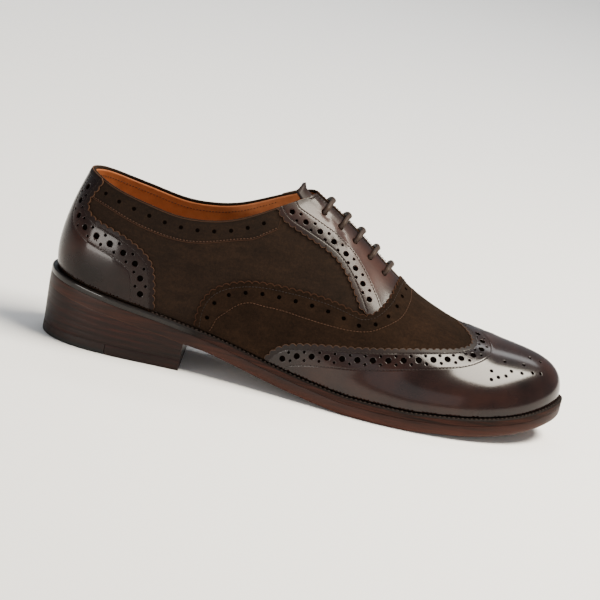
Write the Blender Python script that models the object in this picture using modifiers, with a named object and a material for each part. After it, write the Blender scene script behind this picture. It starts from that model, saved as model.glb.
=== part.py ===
# Wingtip oxford, right shoe: leather sole and stacked heel, suede upper with polished leather overlays.
# X runs from heel to toe, Z is up, and -Y is the outer (lateral) side. The origin is on the floor, in the
# middle of the shoe's box. Tables and named sizes are in millimetres or percentages, meshes in metres.

import bmesh
import bpy
import numpy as np

MM = 0.001

# Driving sizes
LAST_LENGTH = 300.0  # heel seat to toe, at the upper's lower edge
BALL_WIDTH = 92.0  # across the ball, at the upper's lower edge
INSTEP_HEIGHT = 112.0  # floor to the ridge at the top of the facings
SEAT_HEIGHT = 28.7  # floor to the outsole's underside at the back
BACK_HEIGHT = 99.0  # floor to the collar at the back

UPPER_WALL = 2.0  # quarters with their lining
PANEL_THICKNESS = 0.9  # suede vamp and leather facings and counter
WING_THICKNESS = 1.7  # wing cap, which laps the vamp
TONGUE_THICKNESS = 2.0
INSOLE_THICKNESS = 3.2
OUTSOLE_THICKNESS = 6.6
WELT_THICKNESS = 3.7
WELT_WIDTH = 12.0  # from its outer edge to its inner edge, inside the upper
GAP = 0.3  # clearance between pieces that meet
PANEL_GAP = 0.6  # between the edges of panels that lie side by side
LACE_RADIUS = 1.45

HEEL_LENGTH = 84.0  # back of the heel to its breast
TOP_LIFT_THICKNESS = 6.0
RUBBER_LENGTH = 40.0  # back part of the top lift
HEEL_INSET = 1.2  # how far the heel's foot is in from the sole's edge

THROAT_X = 198.0  # where the facings meet the vamp
SLIT_HALF_GAP = (1.3, 4.2)  # between the facings, at the throat and at their tops
FACING_TOP_X = 132.0
FACING_TOP_MARGIN = 25.0  # the collar cuts every rib further back than this

# One row per rib, heel to toe. Each rib is a curve from its foot on the upper's lower edge to the ridge
# line over the foot. "along" columns are percentages of LAST_LENGTH and "out" columns of BALL_WIDTH.
# bulge, rise and crown shape the rib in millimetres: out and up at its foot, and across at the ridge.
RIB_COLUMNS = (
    "name",
    "lateral_along", "lateral_out", "medial_along", "medial_out", "ridge_along",
    "lateral_bulge", "medial_bulge", "lateral_rise", "medial_rise", "lateral_crown", "medial_crown",
)  # fmt: skip
RIBS = (
    ("back",          1.1,   0.0,  1.1,   0.0, 12.0, 10.5, 10.5, 30, 30,  5,  5),
    ("back corner",   3.5, -21.2,  3.5,  21.2, 12.7,  7.0,  7.0, 30, 30,  9,  9),
    ("seat",         12.0, -33.7, 12.0,  33.2, 15.7,  3.5,  3.5, 30, 30, 17, 17),
    ("breast",       26.7, -34.2, 26.7,  31.0, 28.0,  4.0,  5.0, 31, 31, 20, 20),
    ("waist",        40.7, -36.4, 40.7,  25.5, 41.0,  5.0,  7.0, 29, 30, 23, 22),
    ("flare",        55.0, -45.1, 55.0,  33.7, 55.3,  4.0,  4.0, 25, 28, 26, 24),
    ("joint",        68.3, -51.6, 70.7,  47.8, 68.7,  2.5,  1.5, 22, 24, 28, 25),
    ("toe side",     82.7, -46.7, 84.0,  46.2, 81.3,  1.5,  1.5, 20, 20, 27, 26),
    ("toe corner",   95.0, -26.6, 95.7,  28.8, 88.3,  1.2,  1.2, 18, 18, 22, 22),
    ("toe tip",     100.3,   2.7, 100.3,  2.7, 90.3,  1.2,  1.2, 17, 17, 21, 21),
)  # fmt: skip

# Ridge line: along in percent of LAST_LENGTH, height in percent of INSTEP_HEIGHT, side in millimetres
RIDGE = (
    ("over the heel",   6.7, 134.0, 0.0),
    ("over the collar", 20.0, 132.0, 0.0),
    ("ankle",          33.3, 124.0, 1.0),
    ("above facings",  42.7, 107.6, 2.0),
    ("facing top",     46.7, 100.2, 2.5),
    ("first lace",     50.3,  94.4, 3.0),
    ("third lace",     56.7,  82.8, 4.0),
    ("throat",         64.0,  67.6, 5.0),
    ("vamp point",     68.0,  60.4, 5.5),
    ("vamp",           74.3,  52.1, 6.0),
    ("wing peak",      80.3,  46.6, 6.5),
    ("toe box",        86.0,  44.0, 6.5),
    ("toe box front",  91.7,  41.8, 6.0),
)  # fmt: skip

# Underside of the outsole at the middle: along in percent of LAST_LENGTH, height in percent of SEAT_HEIGHT.
# The rows just below zero flatten out into the forefoot's flat spot on the floor.
UNDERSIDE = (
    ("back",         -1.7, 102.1),
    ("heel",          9.3,  86.1),
    ("mid heel",     15.3,  77.4),
    ("heel front",   23.7,  65.2),
    ("breast",       29.3,  55.4),
    ("waist back",   35.0,  44.6),
    ("waist",        41.0,  30.7),
    ("waist front",  49.7,  13.6),
    ("flare",        55.7,   4.9),
    ("ball back",    61.3,  -0.6),
    ("ball",         66.7,  -1.2),
    ("ball front",   71.3,  -0.4),
    ("toe back",     77.7,   4.0),
    ("toe",          83.3,   8.4),
    ("toe spring",   91.0,  18.5),
    ("toe front",    95.0,  27.5),
    ("toe tip",      98.3,  38.0),
    ("toe edge",    102.0,  52.0),
)  # fmt: skip

# Collar edge seen from the side: along in percent of LAST_LENGTH, height in percent of BACK_HEIGHT
COLLAR = (
    ("behind",      -3.3, 101.5),
    ("back",         3.7, 100.2),
    ("back corner",  6.7,  98.0),
    ("quarter back", 10.0, 95.3),
    ("quarter",      16.0, 91.6),
    ("ankle",        21.7, 88.8),
    ("quarter front", 27.0, 89.4),
    ("rise",         32.3,  93.2),
    ("facing back",  37.0,  99.8),
    ("facing",       40.7, 105.8),
    ("facing top",   44.7, 111.6),
    ("past the top", 50.0, 117.5),
)  # fmt: skip

# Welt beyond the upper's lower edge, by rib number: back, breast, waist, joint and toe
WELT_REACH = (
    ("back",    0, 4.4, 4.4),
    ("seat",    2, 3.4, 3.4),
    ("breast",  3, 2.8, 2.6),
    ("waist",   4, 3.2, 2.6),
    ("joint",   6, 5.0, 4.6),
    ("toe tip", 9, 4.6, 4.6),
)  # fmt: skip

RIDGE_Y = 6.0  # side of the ridge line, over the vamp
TOP_SLANT = 1.0  # panels that cross the ridge are cut along lines that lean this much

# Panel edges on the lateral side, from the sole up: rib number, and share of the way up the rib. The medial
# side has the same edges.
WING_EDGE = (
    (4.22, 0.00), (4.30, 0.07), (4.47, 0.14), (4.83, 0.21), (5.40, 0.30), (5.88, 0.385),
    (6.44, 0.51), (6.80, 0.605), (6.99, 0.70), (7.02, 0.80), (6.92, 0.92), (6.75, 1.00),
)  # fmt: skip
VAMP_EDGE = (
    (3.21, 0.00), (3.20, 0.09), (3.26, 0.17), (3.45, 0.24), (3.82, 0.31), (4.21, 0.365), (4.77, 0.43),
    (5.28, 0.47),
)  # fmt: skip
THROAT_EDGE = (
    (5.36, 0.475), (5.46, 0.50), (5.57, 0.55), (5.67, 0.64), (5.73, 0.75), (5.77, 0.90), (5.79, 1.00),
)  # fmt: skip
FACING_EDGE = (
    (3.86, 0.68), (4.06, 0.635), (4.32, 0.645), (4.68, 0.66), (4.92, 0.65), (5.12, 0.605), (5.28, 0.55),
    (5.36, 0.515),
)  # fmt: skip
COUNTER_EDGE = (
    (2.62, 0.00), (2.57, 0.11), (2.49, 0.20), (2.30, 0.25), (1.95, 0.28), (1.49, 0.293), (1.10, 0.315),
    (0.98, 0.36), (1.11, 0.41), (1.14, 0.46),
)  # fmt: skip

# Lace holes: rib numbers from the top of the facings down, and how far up the rib they are
LACE_RIBS = (4.55, 4.80, 5.03, 5.28, 5.53)
LACE_UP = 0.845

LACE_POINTS = 9  # along each bar

# Tongue from its top down: rib number, and half its width in millimetres
TONGUE = ((4.22, 12.2), (4.27, 14.0), (4.36, 18.0), (4.55, 20.5), (5.00, 20.0), (5.50, 18.0), (6.10, 14.0))
TONGUE_POINTS = 11  # across the tongue
TONGUE_GAUGE = 0.7  # the top of a rib, from this share up, is the length its half width is measured by
TONGUE_FREE_RIB = 4.29  # above this rib the tip is clear of the facings
TONGUE_TIP = (1.8, 1.5)  # how far the free tip leans forward and up
TONGUE_SWEEP = 4.4  # how far the tip's outer corner lies behind its middle


def spline(at, rows, period=None):
    # Cubic spline through the rows: its slope and its bend run on without a step. A closed one is
    # worked out over three turns, so that the middle turn doesn't feel the free ends.
    at = np.asarray(at, float)
    rows = np.asarray(rows, float)
    if period:
        at = np.concatenate([at - period, at, at + period])
        rows = np.concatenate([rows] * 3)
    step = np.diff(at)
    count = len(at)
    matrix = np.eye(count)
    for i in range(1, count - 1):
        matrix[i, i - 1 : i + 2] = step[i - 1], 2 * (step[i - 1] + step[i]), step[i]
    turn_of_slope = 6 * np.diff(np.diff(rows, axis=0) / step[:, None], axis=0)
    bend = np.linalg.solve(matrix, np.pad(turn_of_slope, ((1, 1), (0, 0))))

    def value(t):
        t = np.clip(np.asarray(t, float), at[0], at[-1])
        k = np.clip(np.searchsorted(at, t, side="right") - 1, 0, count - 2)
        ahead = ((t - at[k]) / step[k])[..., None]
        behind = 1 - ahead
        sag = (behind**3 - behind) * bend[k] + (ahead**3 - ahead) * bend[k + 1]
        return behind * rows[k] + ahead * rows[k + 1] + sag * step[k][..., None] ** 2 / 6

    return value


def column(table, index):
    return np.array([row[index] for row in table], float)


def rib_column(name):
    return column(RIBS, RIB_COLUMNS.index(name))


# Ribs are numbered round the shoe: 0 is the back, TOE the toe tip by the lateral side, and 2 TOE the back
# again by the medial side, so rib r and rib 2 TOE - r end at the same point of the ridge.
TOE = len(RIBS) - 1
AROUND = 2 * TOE


def around(lateral, medial):
    # A lateral column followed by its medial partner, read back from the toe
    return np.concatenate([lateral, medial[TOE - 1 : 0 : -1]])


def both_sides(name):
    return around(rib_column("lateral_" + name), rib_column("medial_" + name))


rib_values = spline(
    np.arange(AROUND),
    np.stack(
        [
            both_sides("along") * LAST_LENGTH / 100,
            both_sides("out") * BALL_WIDTH / 100,
            both_sides("bulge"),
            both_sides("rise"),
            both_sides("crown"),
            around(rib_column("ridge_along"), rib_column("ridge_along")) * LAST_LENGTH / 100,
        ],
        axis=1,
    ),
    AROUND,
)
ridge_values = spline(
    column(RIDGE, 1) * LAST_LENGTH / 100,
    np.stack([column(RIDGE, 3), column(RIDGE, 2) * INSTEP_HEIGHT / 100], axis=1),
)
underside_values = spline(
    column(UNDERSIDE, 1) * LAST_LENGTH / 100, column(UNDERSIDE, 2)[:, None] * SEAT_HEIGHT / 100
)
collar_values = spline(
    column(COLLAR, 1) * LAST_LENGTH / 100, column(COLLAR, 2)[:, None] * BACK_HEIGHT / 100
)
welt_values = spline(
    np.concatenate([column(WELT_REACH, 1), AROUND - column(WELT_REACH, 1)[-2:0:-1]]),
    np.concatenate([column(WELT_REACH, 2), column(WELT_REACH, 3)[-2:0:-1]])[:, None],
    AROUND,
)


def underside(x):
    return np.maximum(underside_values(x)[..., 0], 0)


def feather_height(x):
    # The upper's lower edge stands a gap above the welt
    return underside(x) + OUTSOLE_THICKNESS + WELT_THICKNESS + 2 * GAP


def outward(rib):
    # Unit vector in plan, square to the upper's lower edge
    step = (rib_values(rib + 0.01) - rib_values(rib - 0.01))[..., :2]
    step /= np.linalg.norm(step, axis=-1, keepdims=True)
    return np.stack([step[..., 1], -step[..., 0]], axis=-1)


def plan_outline(rib, out):
    # The upper's lower edge in plan, moved out by a distance
    return rib_values(rib)[..., :2] + outward(rib) * np.asarray(out)[..., None]


def sole_outline(rib):
    return plan_outline(rib, welt_values(rib)[..., 0])


def rib_point(rib, up):
    # A cubic from the rib's foot (up = 0) to the ridge (up = 1). It leaves the foot by bulge and rise,
    # and comes to the ridge level with it, from the crown's distance out.
    rib, up = np.broadcast_arrays(np.asarray(rib, float), np.asarray(up, float))
    x, y, bulge, rise, crown, ridge_x = np.moveaxis(rib_values(rib), -1, 0)
    foot = np.stack([x, y, feather_height(x)], axis=-1)
    ridge = np.concatenate([ridge_x[..., None], ridge_values(ridge_x)], axis=-1)
    swell = foot + np.concatenate([outward(rib) * bulge[..., None], rise[..., None]], axis=-1)
    spread = (foot - ridge)[..., :2]
    spread = crown[..., None] * spread / np.linalg.norm(spread, axis=-1, keepdims=True)
    ridge_slope = (ridge_values(ridge_x + 0.5) - ridge_values(ridge_x - 0.5))[..., 1]
    shoulder = ridge + np.concatenate([spread, (ridge_slope * spread[..., 0])[..., None]], axis=-1)
    up = up[..., None]
    down = 1 - up
    return down**3 * foot + 3 * down**2 * up * swell + 3 * down * up**2 * shoulder + up**3 * ridge


def rib_normal(rib, up):
    near = np.minimum(up, 0.99)
    forward = rib_point(rib + 0.02, near) - rib_point(rib - 0.02, near)
    upward = rib_point(rib, near + 0.01) - rib_point(rib, near - 0.01)
    normal = np.cross(forward, upward)
    return normal / np.linalg.norm(normal, axis=-1, keepdims=True)


def shoe_point(rib, up, out=0.0):
    # The upper's outer face, moved out along its normal. On the ridge both sides share one normal.
    rib, up = np.broadcast_arrays(np.asarray(rib, float), np.asarray(up, float))
    normal = rib_normal(rib, up)
    shared = normal + rib_normal(AROUND - rib, up)
    shared /= np.linalg.norm(shared, axis=-1, keepdims=True)
    normal = np.where((up > 0.999)[..., None], shared, normal)
    return rib_point(rib, up) + normal * out


def slit_half_gap(x):
    # The facings lie close at the throat and open towards their tops
    share = np.clip((THROAT_X - x) / (THROAT_X - FACING_TOP_X), 0, 1)
    gap = SLIT_HALF_GAP[0] + (SLIT_HALF_GAP[1] - SLIT_HALF_GAP[0]) * share
    return np.where((x < THROAT_X) & (x > FACING_TOP_X - FACING_TOP_MARGIN), gap, -1.0)


def rib_top(rib):
    # How far up each rib runs before the collar, or the slit between the facings, cuts it
    up = np.linspace(0, 1, 400)
    point = rib_point(np.asarray(rib, float)[:, None], up)
    over_collar = point[..., 2] - collar_values(point[..., 0])[..., 0]
    in_slit = slit_half_gap(point[..., 0]) - abs(point[..., 1] - ridge_values(point[..., 0])[..., 0])
    past = np.maximum(over_collar, in_slit)
    last = np.where((past > 0).any(axis=1), np.argmax(past > 0, axis=1), len(up) - 1)
    pick = np.arange(len(past))
    before = past[pick, last - 1]
    after = past[pick, last]
    share = np.where(after > 0, before / np.where(after > before, before - after, -1.0), 1.0)
    return up[last - 1] + np.clip(share, 0, 1) * (up[last] - up[last - 1])


# Meshes


def to_frame(points):
    return (points - SHOE_CENTRE) * MM


turn = np.linspace(0, AROUND, 721)
floor_plan = sole_outline(turn)
SHOE_CENTRE = np.append((floor_plan.min(axis=0) + floor_plan.max(axis=0)) / 2, 0.0)

# Ribs that carry the upper's mesh: in each range of rib numbers, the step from one to the next. They are
# close together round the heel and the toe, and where the collar turns into the facings.
RIB_STEPS = ((0, 2, 0.25), (2, 3.5, 0.375), (3.5, 4.5, 0.1), (4.5, 7, 0.3125), (7, TOE, 0.2))
RIB_MARGIN = 0.05  # ribs of a mesh stay this far apart
SIDE_RIBS = np.concatenate(
    [np.arange(first, last - RIB_MARGIN, step) for first, last, step in RIB_STEPS] + [[TOE]]
)
ROWS_UP = 10
ROW_SHARES = 1 - np.linspace(1, 0, ROWS_UP + 1) ** 1.3  # rows crowd towards the ridge, which bends most
OVERLAY_START = 0.012  # an overlay's lower edge, as a share of the rib, so that it clears the welt


def clear_scene():
    for thing in list(bpy.data.objects):
        bpy.data.objects.remove(thing)


def new_collection(name):
    collection = bpy.data.collections.new(name)
    bpy.context.scene.collection.children.link(collection)
    return collection


def new_material(name, colour, roughness):
    material = bpy.data.materials.new(name)
    material.use_nodes = True
    shader = material.node_tree.nodes["Principled BSDF"]
    shader.inputs["Base Color"].default_value = (*colour, 1.0)
    shader.inputs["Roughness"].default_value = roughness
    return material


def new_object(name, points, faces, material=None):
    # Joins points that coincide, as at the ridge, the back and the toe, and drops what that flattens
    mesh = bpy.data.meshes.new(name)
    mesh.from_pydata(to_frame(points.reshape(-1, 3)).tolist(), [], faces)
    sheet = bmesh.new()
    sheet.from_mesh(mesh)
    bmesh.ops.remove_doubles(sheet, verts=sheet.verts, dist=0.01 * MM)
    sheet.to_mesh(mesh)
    sheet.free()
    thing = bpy.data.objects.new(name, mesh)
    (parts if material else cutters).objects.link(thing)
    if material:
        mesh.materials.append(material)
    return thing


def grid_faces(columns, rows, closed=False):
    # Two triangles for each cell of a grid whose points run along each column first
    faces = []
    for i in range(columns if closed else columns - 1):
        for j in range(rows - 1):
            a = i * rows + j
            b = (i + 1) % columns * rows + j
            faces += [(a, b, b + 1), (a, b + 1, a + 1)]
    return faces


def thicken(thing, thickness, offset):
    solidify = thing.modifiers.new("Wall", "SOLIDIFY")
    solidify.thickness = thickness * MM
    solidify.offset = offset


def shell(name, ribs, out, thickness, offset, material, closed=False):
    # Part of the upper's own surface, moved out and given a wall
    start = OVERLAY_START if out else 0.0
    up = rib_top(ribs)[:, None] * (start + (1 - start) * ROW_SHARES)
    points = shoe_point(ribs[:, None], up, out)
    thing = new_object(name, points, grid_faces(len(ribs), ROWS_UP + 1, closed), material)
    thicken(thing, thickness, offset)
    return thing


def ribs_between(first, last):
    # Mesh ribs in a range of rib numbers, which may run back past the heel
    medial = AROUND - SIDE_RIBS[-2:0:-1]
    every = np.concatenate([medial - AROUND, SIDE_RIBS, medial])
    return every[(every >= first) & (every <= last)]


def panel_line(edge, slant, shift=0.0):
    # A panel edge as a smooth line seen along the slant, which leans that many millimetres down for each
    # one out from the ridge: 0 is the plain side view. The line is moved to its left by shift.
    rows = np.array(edge)
    table = spline(np.arange(len(rows)), rows)
    rib, up = table(np.linspace(0, len(rows) - 1, 3 * len(rows))).T
    x, y, z = shoe_point(rib, np.clip(up, 0, 1), GAP + PANEL_THICKNESS / 2).T
    line = np.stack([x, z - slant * abs(y - RIDGE_Y)], axis=1)
    forward = np.gradient(line, axis=0)
    forward /= np.linalg.norm(forward, axis=1, keepdims=True)
    return line + shift * np.stack([-forward[:, 1], forward[:, 0]], axis=1)


def prism(name, outline, slant):
    # The outline drawn out to both sides of the ridge along the slant
    count = len(outline)
    rings = []
    for reach in (-BALL_WIDTH, 0.0, BALL_WIDTH):
        rings.append(np.insert(outline + (0, slant * abs(reach)), 1, RIDGE_Y + reach, axis=1))
    faces = [tuple(range(count)), tuple(range(3 * count - 1, 2 * count - 1, -1))]
    for ring in (0, count):
        for i in range(count):
            j = (i + 1) % count
            faces.append((ring + i, ring + count + i, ring + count + j, ring + j))
    thing = new_object(name, np.concatenate(rings), faces)
    shape = bmesh.new()
    shape.from_mesh(thing.data)
    bmesh.ops.recalc_face_normals(shape, faces=shape.faces)
    shape.to_mesh(thing.data)
    shape.free()
    thing.hide_render = True
    thing.display_type = "WIRE"
    return thing


def keep_inside(thing, cutter):
    cut = thing.modifiers.new("Outline", "BOOLEAN")
    cut.operation = "INTERSECT"
    cut.object = cutter


def slab(name, ribs, low_plan, high_plan, low, high, material, across=4):
    # A plate between two plan outlines, each given for both sides, at heights that follow x
    share = np.linspace(0, 1, across + 1)[:, None]
    layers = []
    for plan, height in ((low_plan, low), (high_plan, high)):
        lateral = plan(ribs)[:, None]
        medial = plan(AROUND - ribs)[:, None]
        flat = lateral * (1 - share) + medial * share
        layers.append(np.concatenate([flat, height(flat[..., 0])[..., None]], axis=-1))
    points = np.stack(layers)
    rows = across + 1
    size = len(ribs) * rows
    bottom = grid_faces(len(ribs), rows)
    faces = [triangle[::-1] for triangle in bottom]
    faces += [tuple(size + k for k in triangle) for triangle in bottom]
    ladder = np.arange(size).reshape(len(ribs), rows)
    rim = np.concatenate([ladder[:, 0], ladder[-1, 1:], ladder[-2::-1, -1], ladder[0, -2:0:-1]])
    for a, b in zip(rim, np.roll(rim, -1)):
        faces += [(a, b, b + size), (a, b + size, a + size)]
    return new_object(name, points, [tuple(int(k) for k in face) for face in faces], material)


def heel_plan(inset):
    # The sole's outline at the heel, in by a distance
    def plan(rib):
        return plan_outline(rib, welt_values(rib)[..., 0] - inset)

    return plan


def level(height):
    return lambda x: np.full_like(x, height)


def above_underside(height):
    return lambda x: underside(x) + height


clear_scene()
parts = new_collection("wingtip_oxford")
cutters = new_collection("cutters")

SUEDE = new_material("brown suede", (0.085, 0.055, 0.040), 0.95)
POLISHED = new_material("polished brown leather", (0.060, 0.032, 0.026), 0.35)
SOLE_LEATHER = new_material("sole leather", (0.150, 0.060, 0.040), 0.55)
WELT_LEATHER = new_material("dark welt leather", (0.030, 0.020, 0.018), 0.50)
HEEL_LEATHER = new_material("stacked heel leather", (0.095, 0.040, 0.032), 0.45)
RUBBER = new_material("black rubber", (0.020, 0.020, 0.020), 0.80)
LINING = new_material("tan lining leather", (0.420, 0.190, 0.070), 0.60)
CORD = new_material("dark brown waxed cord", (0.040, 0.026, 0.020), 0.55)

# Bottom of the shoe
outsole_top = above_underside(OUTSOLE_THICKNESS)
slab("outsole", SIDE_RIBS, sole_outline, sole_outline, underside, outsole_top, SOLE_LEATHER)

whole_turn = np.concatenate([SIDE_RIBS, AROUND - SIDE_RIBS[-2:0:-1]])
outer = sole_outline(whole_turn)
inner = plan_outline(whole_turn, welt_values(whole_turn)[..., 0] - WELT_WIDTH)
welt_low = OUTSOLE_THICKNESS + GAP
welt_high = welt_low + WELT_THICKNESS
loop = [(inner, welt_low), (outer, welt_low), (outer, welt_high), (inner, welt_high), (inner, welt_low)]
welt_points = np.stack([np.c_[plan, underside(plan[:, 0]) + height] for plan, height in loop], axis=1)
new_object("welt", welt_points, grid_faces(len(whole_turn), len(loop), closed=True), WELT_LEATHER)

heel_lines = (HEEL_LENGTH, RUBBER_LENGTH, RUBBER_LENGTH + GAP)
breast_rib, rubber_rib, lift_rib = np.interp(heel_lines, sole_outline(SIDE_RIBS)[:, 0], SIDE_RIBS)
heel_ribs = np.append(SIDE_RIBS[SIDE_RIBS < breast_rib - RIB_MARGIN], breast_rib)
rubber_ribs = np.append(SIDE_RIBS[SIDE_RIBS < rubber_rib - RIB_MARGIN], rubber_rib)
lift_ribs = np.insert(heel_ribs[heel_ribs > lift_rib + RIB_MARGIN], 0, lift_rib)
heel_foot = heel_plan(HEEL_INSET)
stack_low = level(TOP_LIFT_THICKNESS + GAP)
stack_high = above_underside(-GAP)
slab("heel_stack", heel_ribs, heel_foot, heel_plan(0), stack_low, stack_high, HEEL_LEATHER)
slab("rubber_tip", rubber_ribs, heel_foot, heel_foot, level(0), level(TOP_LIFT_THICKNESS), RUBBER)
slab("top_lift", lift_ribs, heel_foot, heel_foot, level(0), level(TOP_LIFT_THICKNESS), SOLE_LEATHER)


def insole_plan(rib):
    return plan_outline(rib, np.full_like(rib, -UPPER_WALL - 2 * GAP))


def insole_top(x):
    return feather_height(x) + INSOLE_THICKNESS


slab("insole", SIDE_RIBS, insole_plan, insole_plan, feather_height, insole_top, LINING, across=3)

# Upper and tongue
shell("upper", whole_turn, 0.0, UPPER_WALL, -1, SUEDE, closed=True)

tongue_table = spline(column(TONGUE, 0), column(TONGUE, 1)[:, None])
tip_ribs = column(TONGUE, 0)[:2]
tongue_inside = (SIDE_RIBS > tip_ribs[-1] + RIB_MARGIN / 2) & (SIDE_RIBS < TONGUE[-1][0])
tongue_ribs = np.append(tip_ribs, SIDE_RIBS[tongue_inside])
across = np.linspace(-1, 1, TONGUE_POINTS)
gauge = rib_point(tongue_ribs, 1.0) - rib_point(tongue_ribs, TONGUE_GAUGE)
reach = np.linalg.norm(gauge, axis=-1) / (1 - TONGUE_GAUGE)
tongue_up = 1 - abs(across) * (tongue_table(tongue_ribs)[..., 0] / reach)[:, None]
tongue_rib = np.where(across <= 0, tongue_ribs[:, None], AROUND - tongue_ribs[:, None])
tongue_points = shoe_point(tongue_rib, tongue_up, -UPPER_WALL - 3 * GAP)
free = np.clip((TONGUE_FREE_RIB - tongue_ribs) / (TONGUE_FREE_RIB - TONGUE[0][0]), 0, 1)[:, None]
tongue_points[..., 0] += free * (TONGUE_TIP[0] - TONGUE_SWEEP * np.minimum(across, 0) ** 2)
tongue_points[..., 2] += free * TONGUE_TIP[1]
tongue = new_object("tongue", tongue_points, grid_faces(len(tongue_ribs), len(across)), POLISHED)
thicken(tongue, TONGUE_THICKNESS, -1)

# Overlays: walls over the upper, each kept inside its outline
wing_line = panel_line(WING_EDGE, TOP_SLANT)
vamp_front = panel_line(WING_EDGE, TOP_SLANT, PANEL_GAP)[::-1]
vamp_back = panel_line(VAMP_EDGE + THROAT_EDGE, TOP_SLANT)
facing_back = panel_line(FACING_EDGE, TOP_SLANT)
facing_front = panel_line(THROAT_EDGE, TOP_SLANT, PANEL_GAP)
counter_line = panel_line(COUNTER_EDGE, 0)
over = 2 * INSTEP_HEIGHT
under = -INSTEP_HEIGHT
ahead = 1.1 * LAST_LENGTH
behind = -0.1 * LAST_LENGTH


def below(line):
    return [(line[0, 0], under)]


def above(line):
    return [(line[-1, 0], over)]


wing_outline = np.concatenate(
    [below(wing_line), wing_line, above(wing_line), [(ahead, over), (ahead, under)]]
)
wing_cap = shell("wing_cap", ribs_between(4, AROUND - 4), GAP, WING_THICKNESS, 1, POLISHED)
keep_inside(wing_cap, prism("wing_outline", wing_outline, TOP_SLANT))

vamp_outline = np.concatenate(
    [
        below(vamp_back), vamp_back, above(vamp_back),
        above(vamp_front[::-1]), vamp_front, below(vamp_front[::-1]),
    ]
)  # fmt: skip
vamp = shell("vamp", ribs_between(3, AROUND - 3), GAP, PANEL_THICKNESS, 1, SUEDE)
keep_inside(vamp, prism("vamp_outline", vamp_outline, TOP_SLANT))

facing_outline = np.concatenate([above(facing_back[::-1]), facing_back, facing_front, above(facing_front)])
facing_prism = prism("facing_outline", facing_outline, TOP_SLANT)
facing_ribs = (
    ("facing_lateral", ribs_between(3.5, 6)),
    ("facing_medial", ribs_between(AROUND - 6, AROUND - 3.5)),
)
for name, ribs in facing_ribs:
    keep_inside(shell(name, ribs, GAP, PANEL_THICKNESS, 1, POLISHED), facing_prism)

counter_outline = np.concatenate(
    [below(counter_line), counter_line, above(counter_line), [(behind, over), (behind, under)]]
)
heel_counter = shell("heel_counter", ribs_between(-3, 3), GAP, PANEL_THICKNESS, 1, POLISHED)
keep_inside(heel_counter, prism("counter_outline", counter_outline, 0))

# Lace bars, clear of the facings
lace_out = 2 * GAP + PANEL_THICKNESS + LACE_RADIUS
along_bar = np.linspace(-1, 1, LACE_POINTS)
for number, lace_rib in enumerate(LACE_RIBS, 1):
    up = 1 - abs(along_bar) * (1 - LACE_UP)
    rib = np.where(along_bar <= 0, lace_rib, AROUND - lace_rib)
    path = to_frame(shoe_point(rib, up, lace_out))
    curve = bpy.data.curves.new(f"lace_bar_{number}", "CURVE")
    curve.dimensions = "3D"
    curve.bevel_depth = LACE_RADIUS * MM
    curve.bevel_resolution = 1
    curve.use_fill_caps = True
    run = curve.splines.new("POLY")
    run.points.add(len(path) - 1)
    run.points.foreach_set("co", np.c_[path, np.ones(len(path))].ravel())
    curve.materials.append(CORD)
    parts.objects.link(bpy.data.objects.new(f"lace_bar_{number}", curve))
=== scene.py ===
import math

import bmesh
import bpy
import numpy as np
from mathutils import Matrix, Vector
from mathutils.geometry import delaunay_2d_cdt


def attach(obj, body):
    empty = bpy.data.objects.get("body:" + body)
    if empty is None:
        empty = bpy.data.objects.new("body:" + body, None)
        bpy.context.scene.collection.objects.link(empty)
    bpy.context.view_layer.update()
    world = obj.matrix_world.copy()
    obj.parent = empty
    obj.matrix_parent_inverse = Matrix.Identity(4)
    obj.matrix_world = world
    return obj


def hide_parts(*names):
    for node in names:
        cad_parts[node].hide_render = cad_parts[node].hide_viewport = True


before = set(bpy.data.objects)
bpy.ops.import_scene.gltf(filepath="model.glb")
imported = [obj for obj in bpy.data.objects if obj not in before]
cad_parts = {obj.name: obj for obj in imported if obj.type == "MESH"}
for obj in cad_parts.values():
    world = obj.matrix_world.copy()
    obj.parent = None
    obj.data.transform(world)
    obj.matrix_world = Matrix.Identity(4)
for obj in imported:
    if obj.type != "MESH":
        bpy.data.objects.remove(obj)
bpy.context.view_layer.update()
mm = 0.001

# Sizes of the last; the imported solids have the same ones
last = {
    "length": 300.0,
    "ballWidth": 92.0,
    "instepHeight": 112.0,
    "seatHeight": 28.7,
    "backHeight": 99.0,
    "outsole": 6.6,
    "welt": 3.7,
    "insole": 3.2,
    "gap": 0.3,
    "throatX": 198.0,
    "facingTopX": 132.0,
    "facingMargin": 25.0,
    "slitHalfGap": (1.3, 4.2),
}

# One row per rib from heel to toe: foot along and out on the outer side, then on the inner side, ridge along
# (percent), then bulge, rise and crown of the rib in millimetres, outer and inner
ribRows = np.array([
    (1.1, 0.0, 1.1, 0.0, 12.0, 10.5, 10.5, 30, 30, 5, 5),
    (3.5, -21.2, 3.5, 21.2, 12.7, 7.0, 7.0, 30, 30, 9, 9),
    (12.0, -33.7, 12.0, 33.2, 15.7, 3.5, 3.5, 30, 30, 17, 17),
    (26.7, -34.2, 26.7, 31.0, 28.0, 4.0, 5.0, 31, 31, 20, 20),
    (40.7, -36.4, 40.7, 25.5, 41.0, 5.0, 7.0, 29, 30, 23, 22),
    (55.0, -45.1, 55.0, 33.7, 55.3, 4.0, 4.0, 25, 28, 26, 24),
    (68.3, -51.6, 70.7, 47.8, 68.7, 2.5, 1.5, 22, 24, 28, 25),
    (82.7, -46.7, 84.0, 46.2, 81.3, 1.5, 1.5, 20, 20, 27, 26),
    (95.0, -26.6, 95.7, 28.8, 88.3, 1.2, 1.2, 18, 18, 22, 22),
    (100.3, 2.7, 100.3, 2.7, 90.3, 1.2, 1.2, 17, 17, 21, 21),
])
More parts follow.
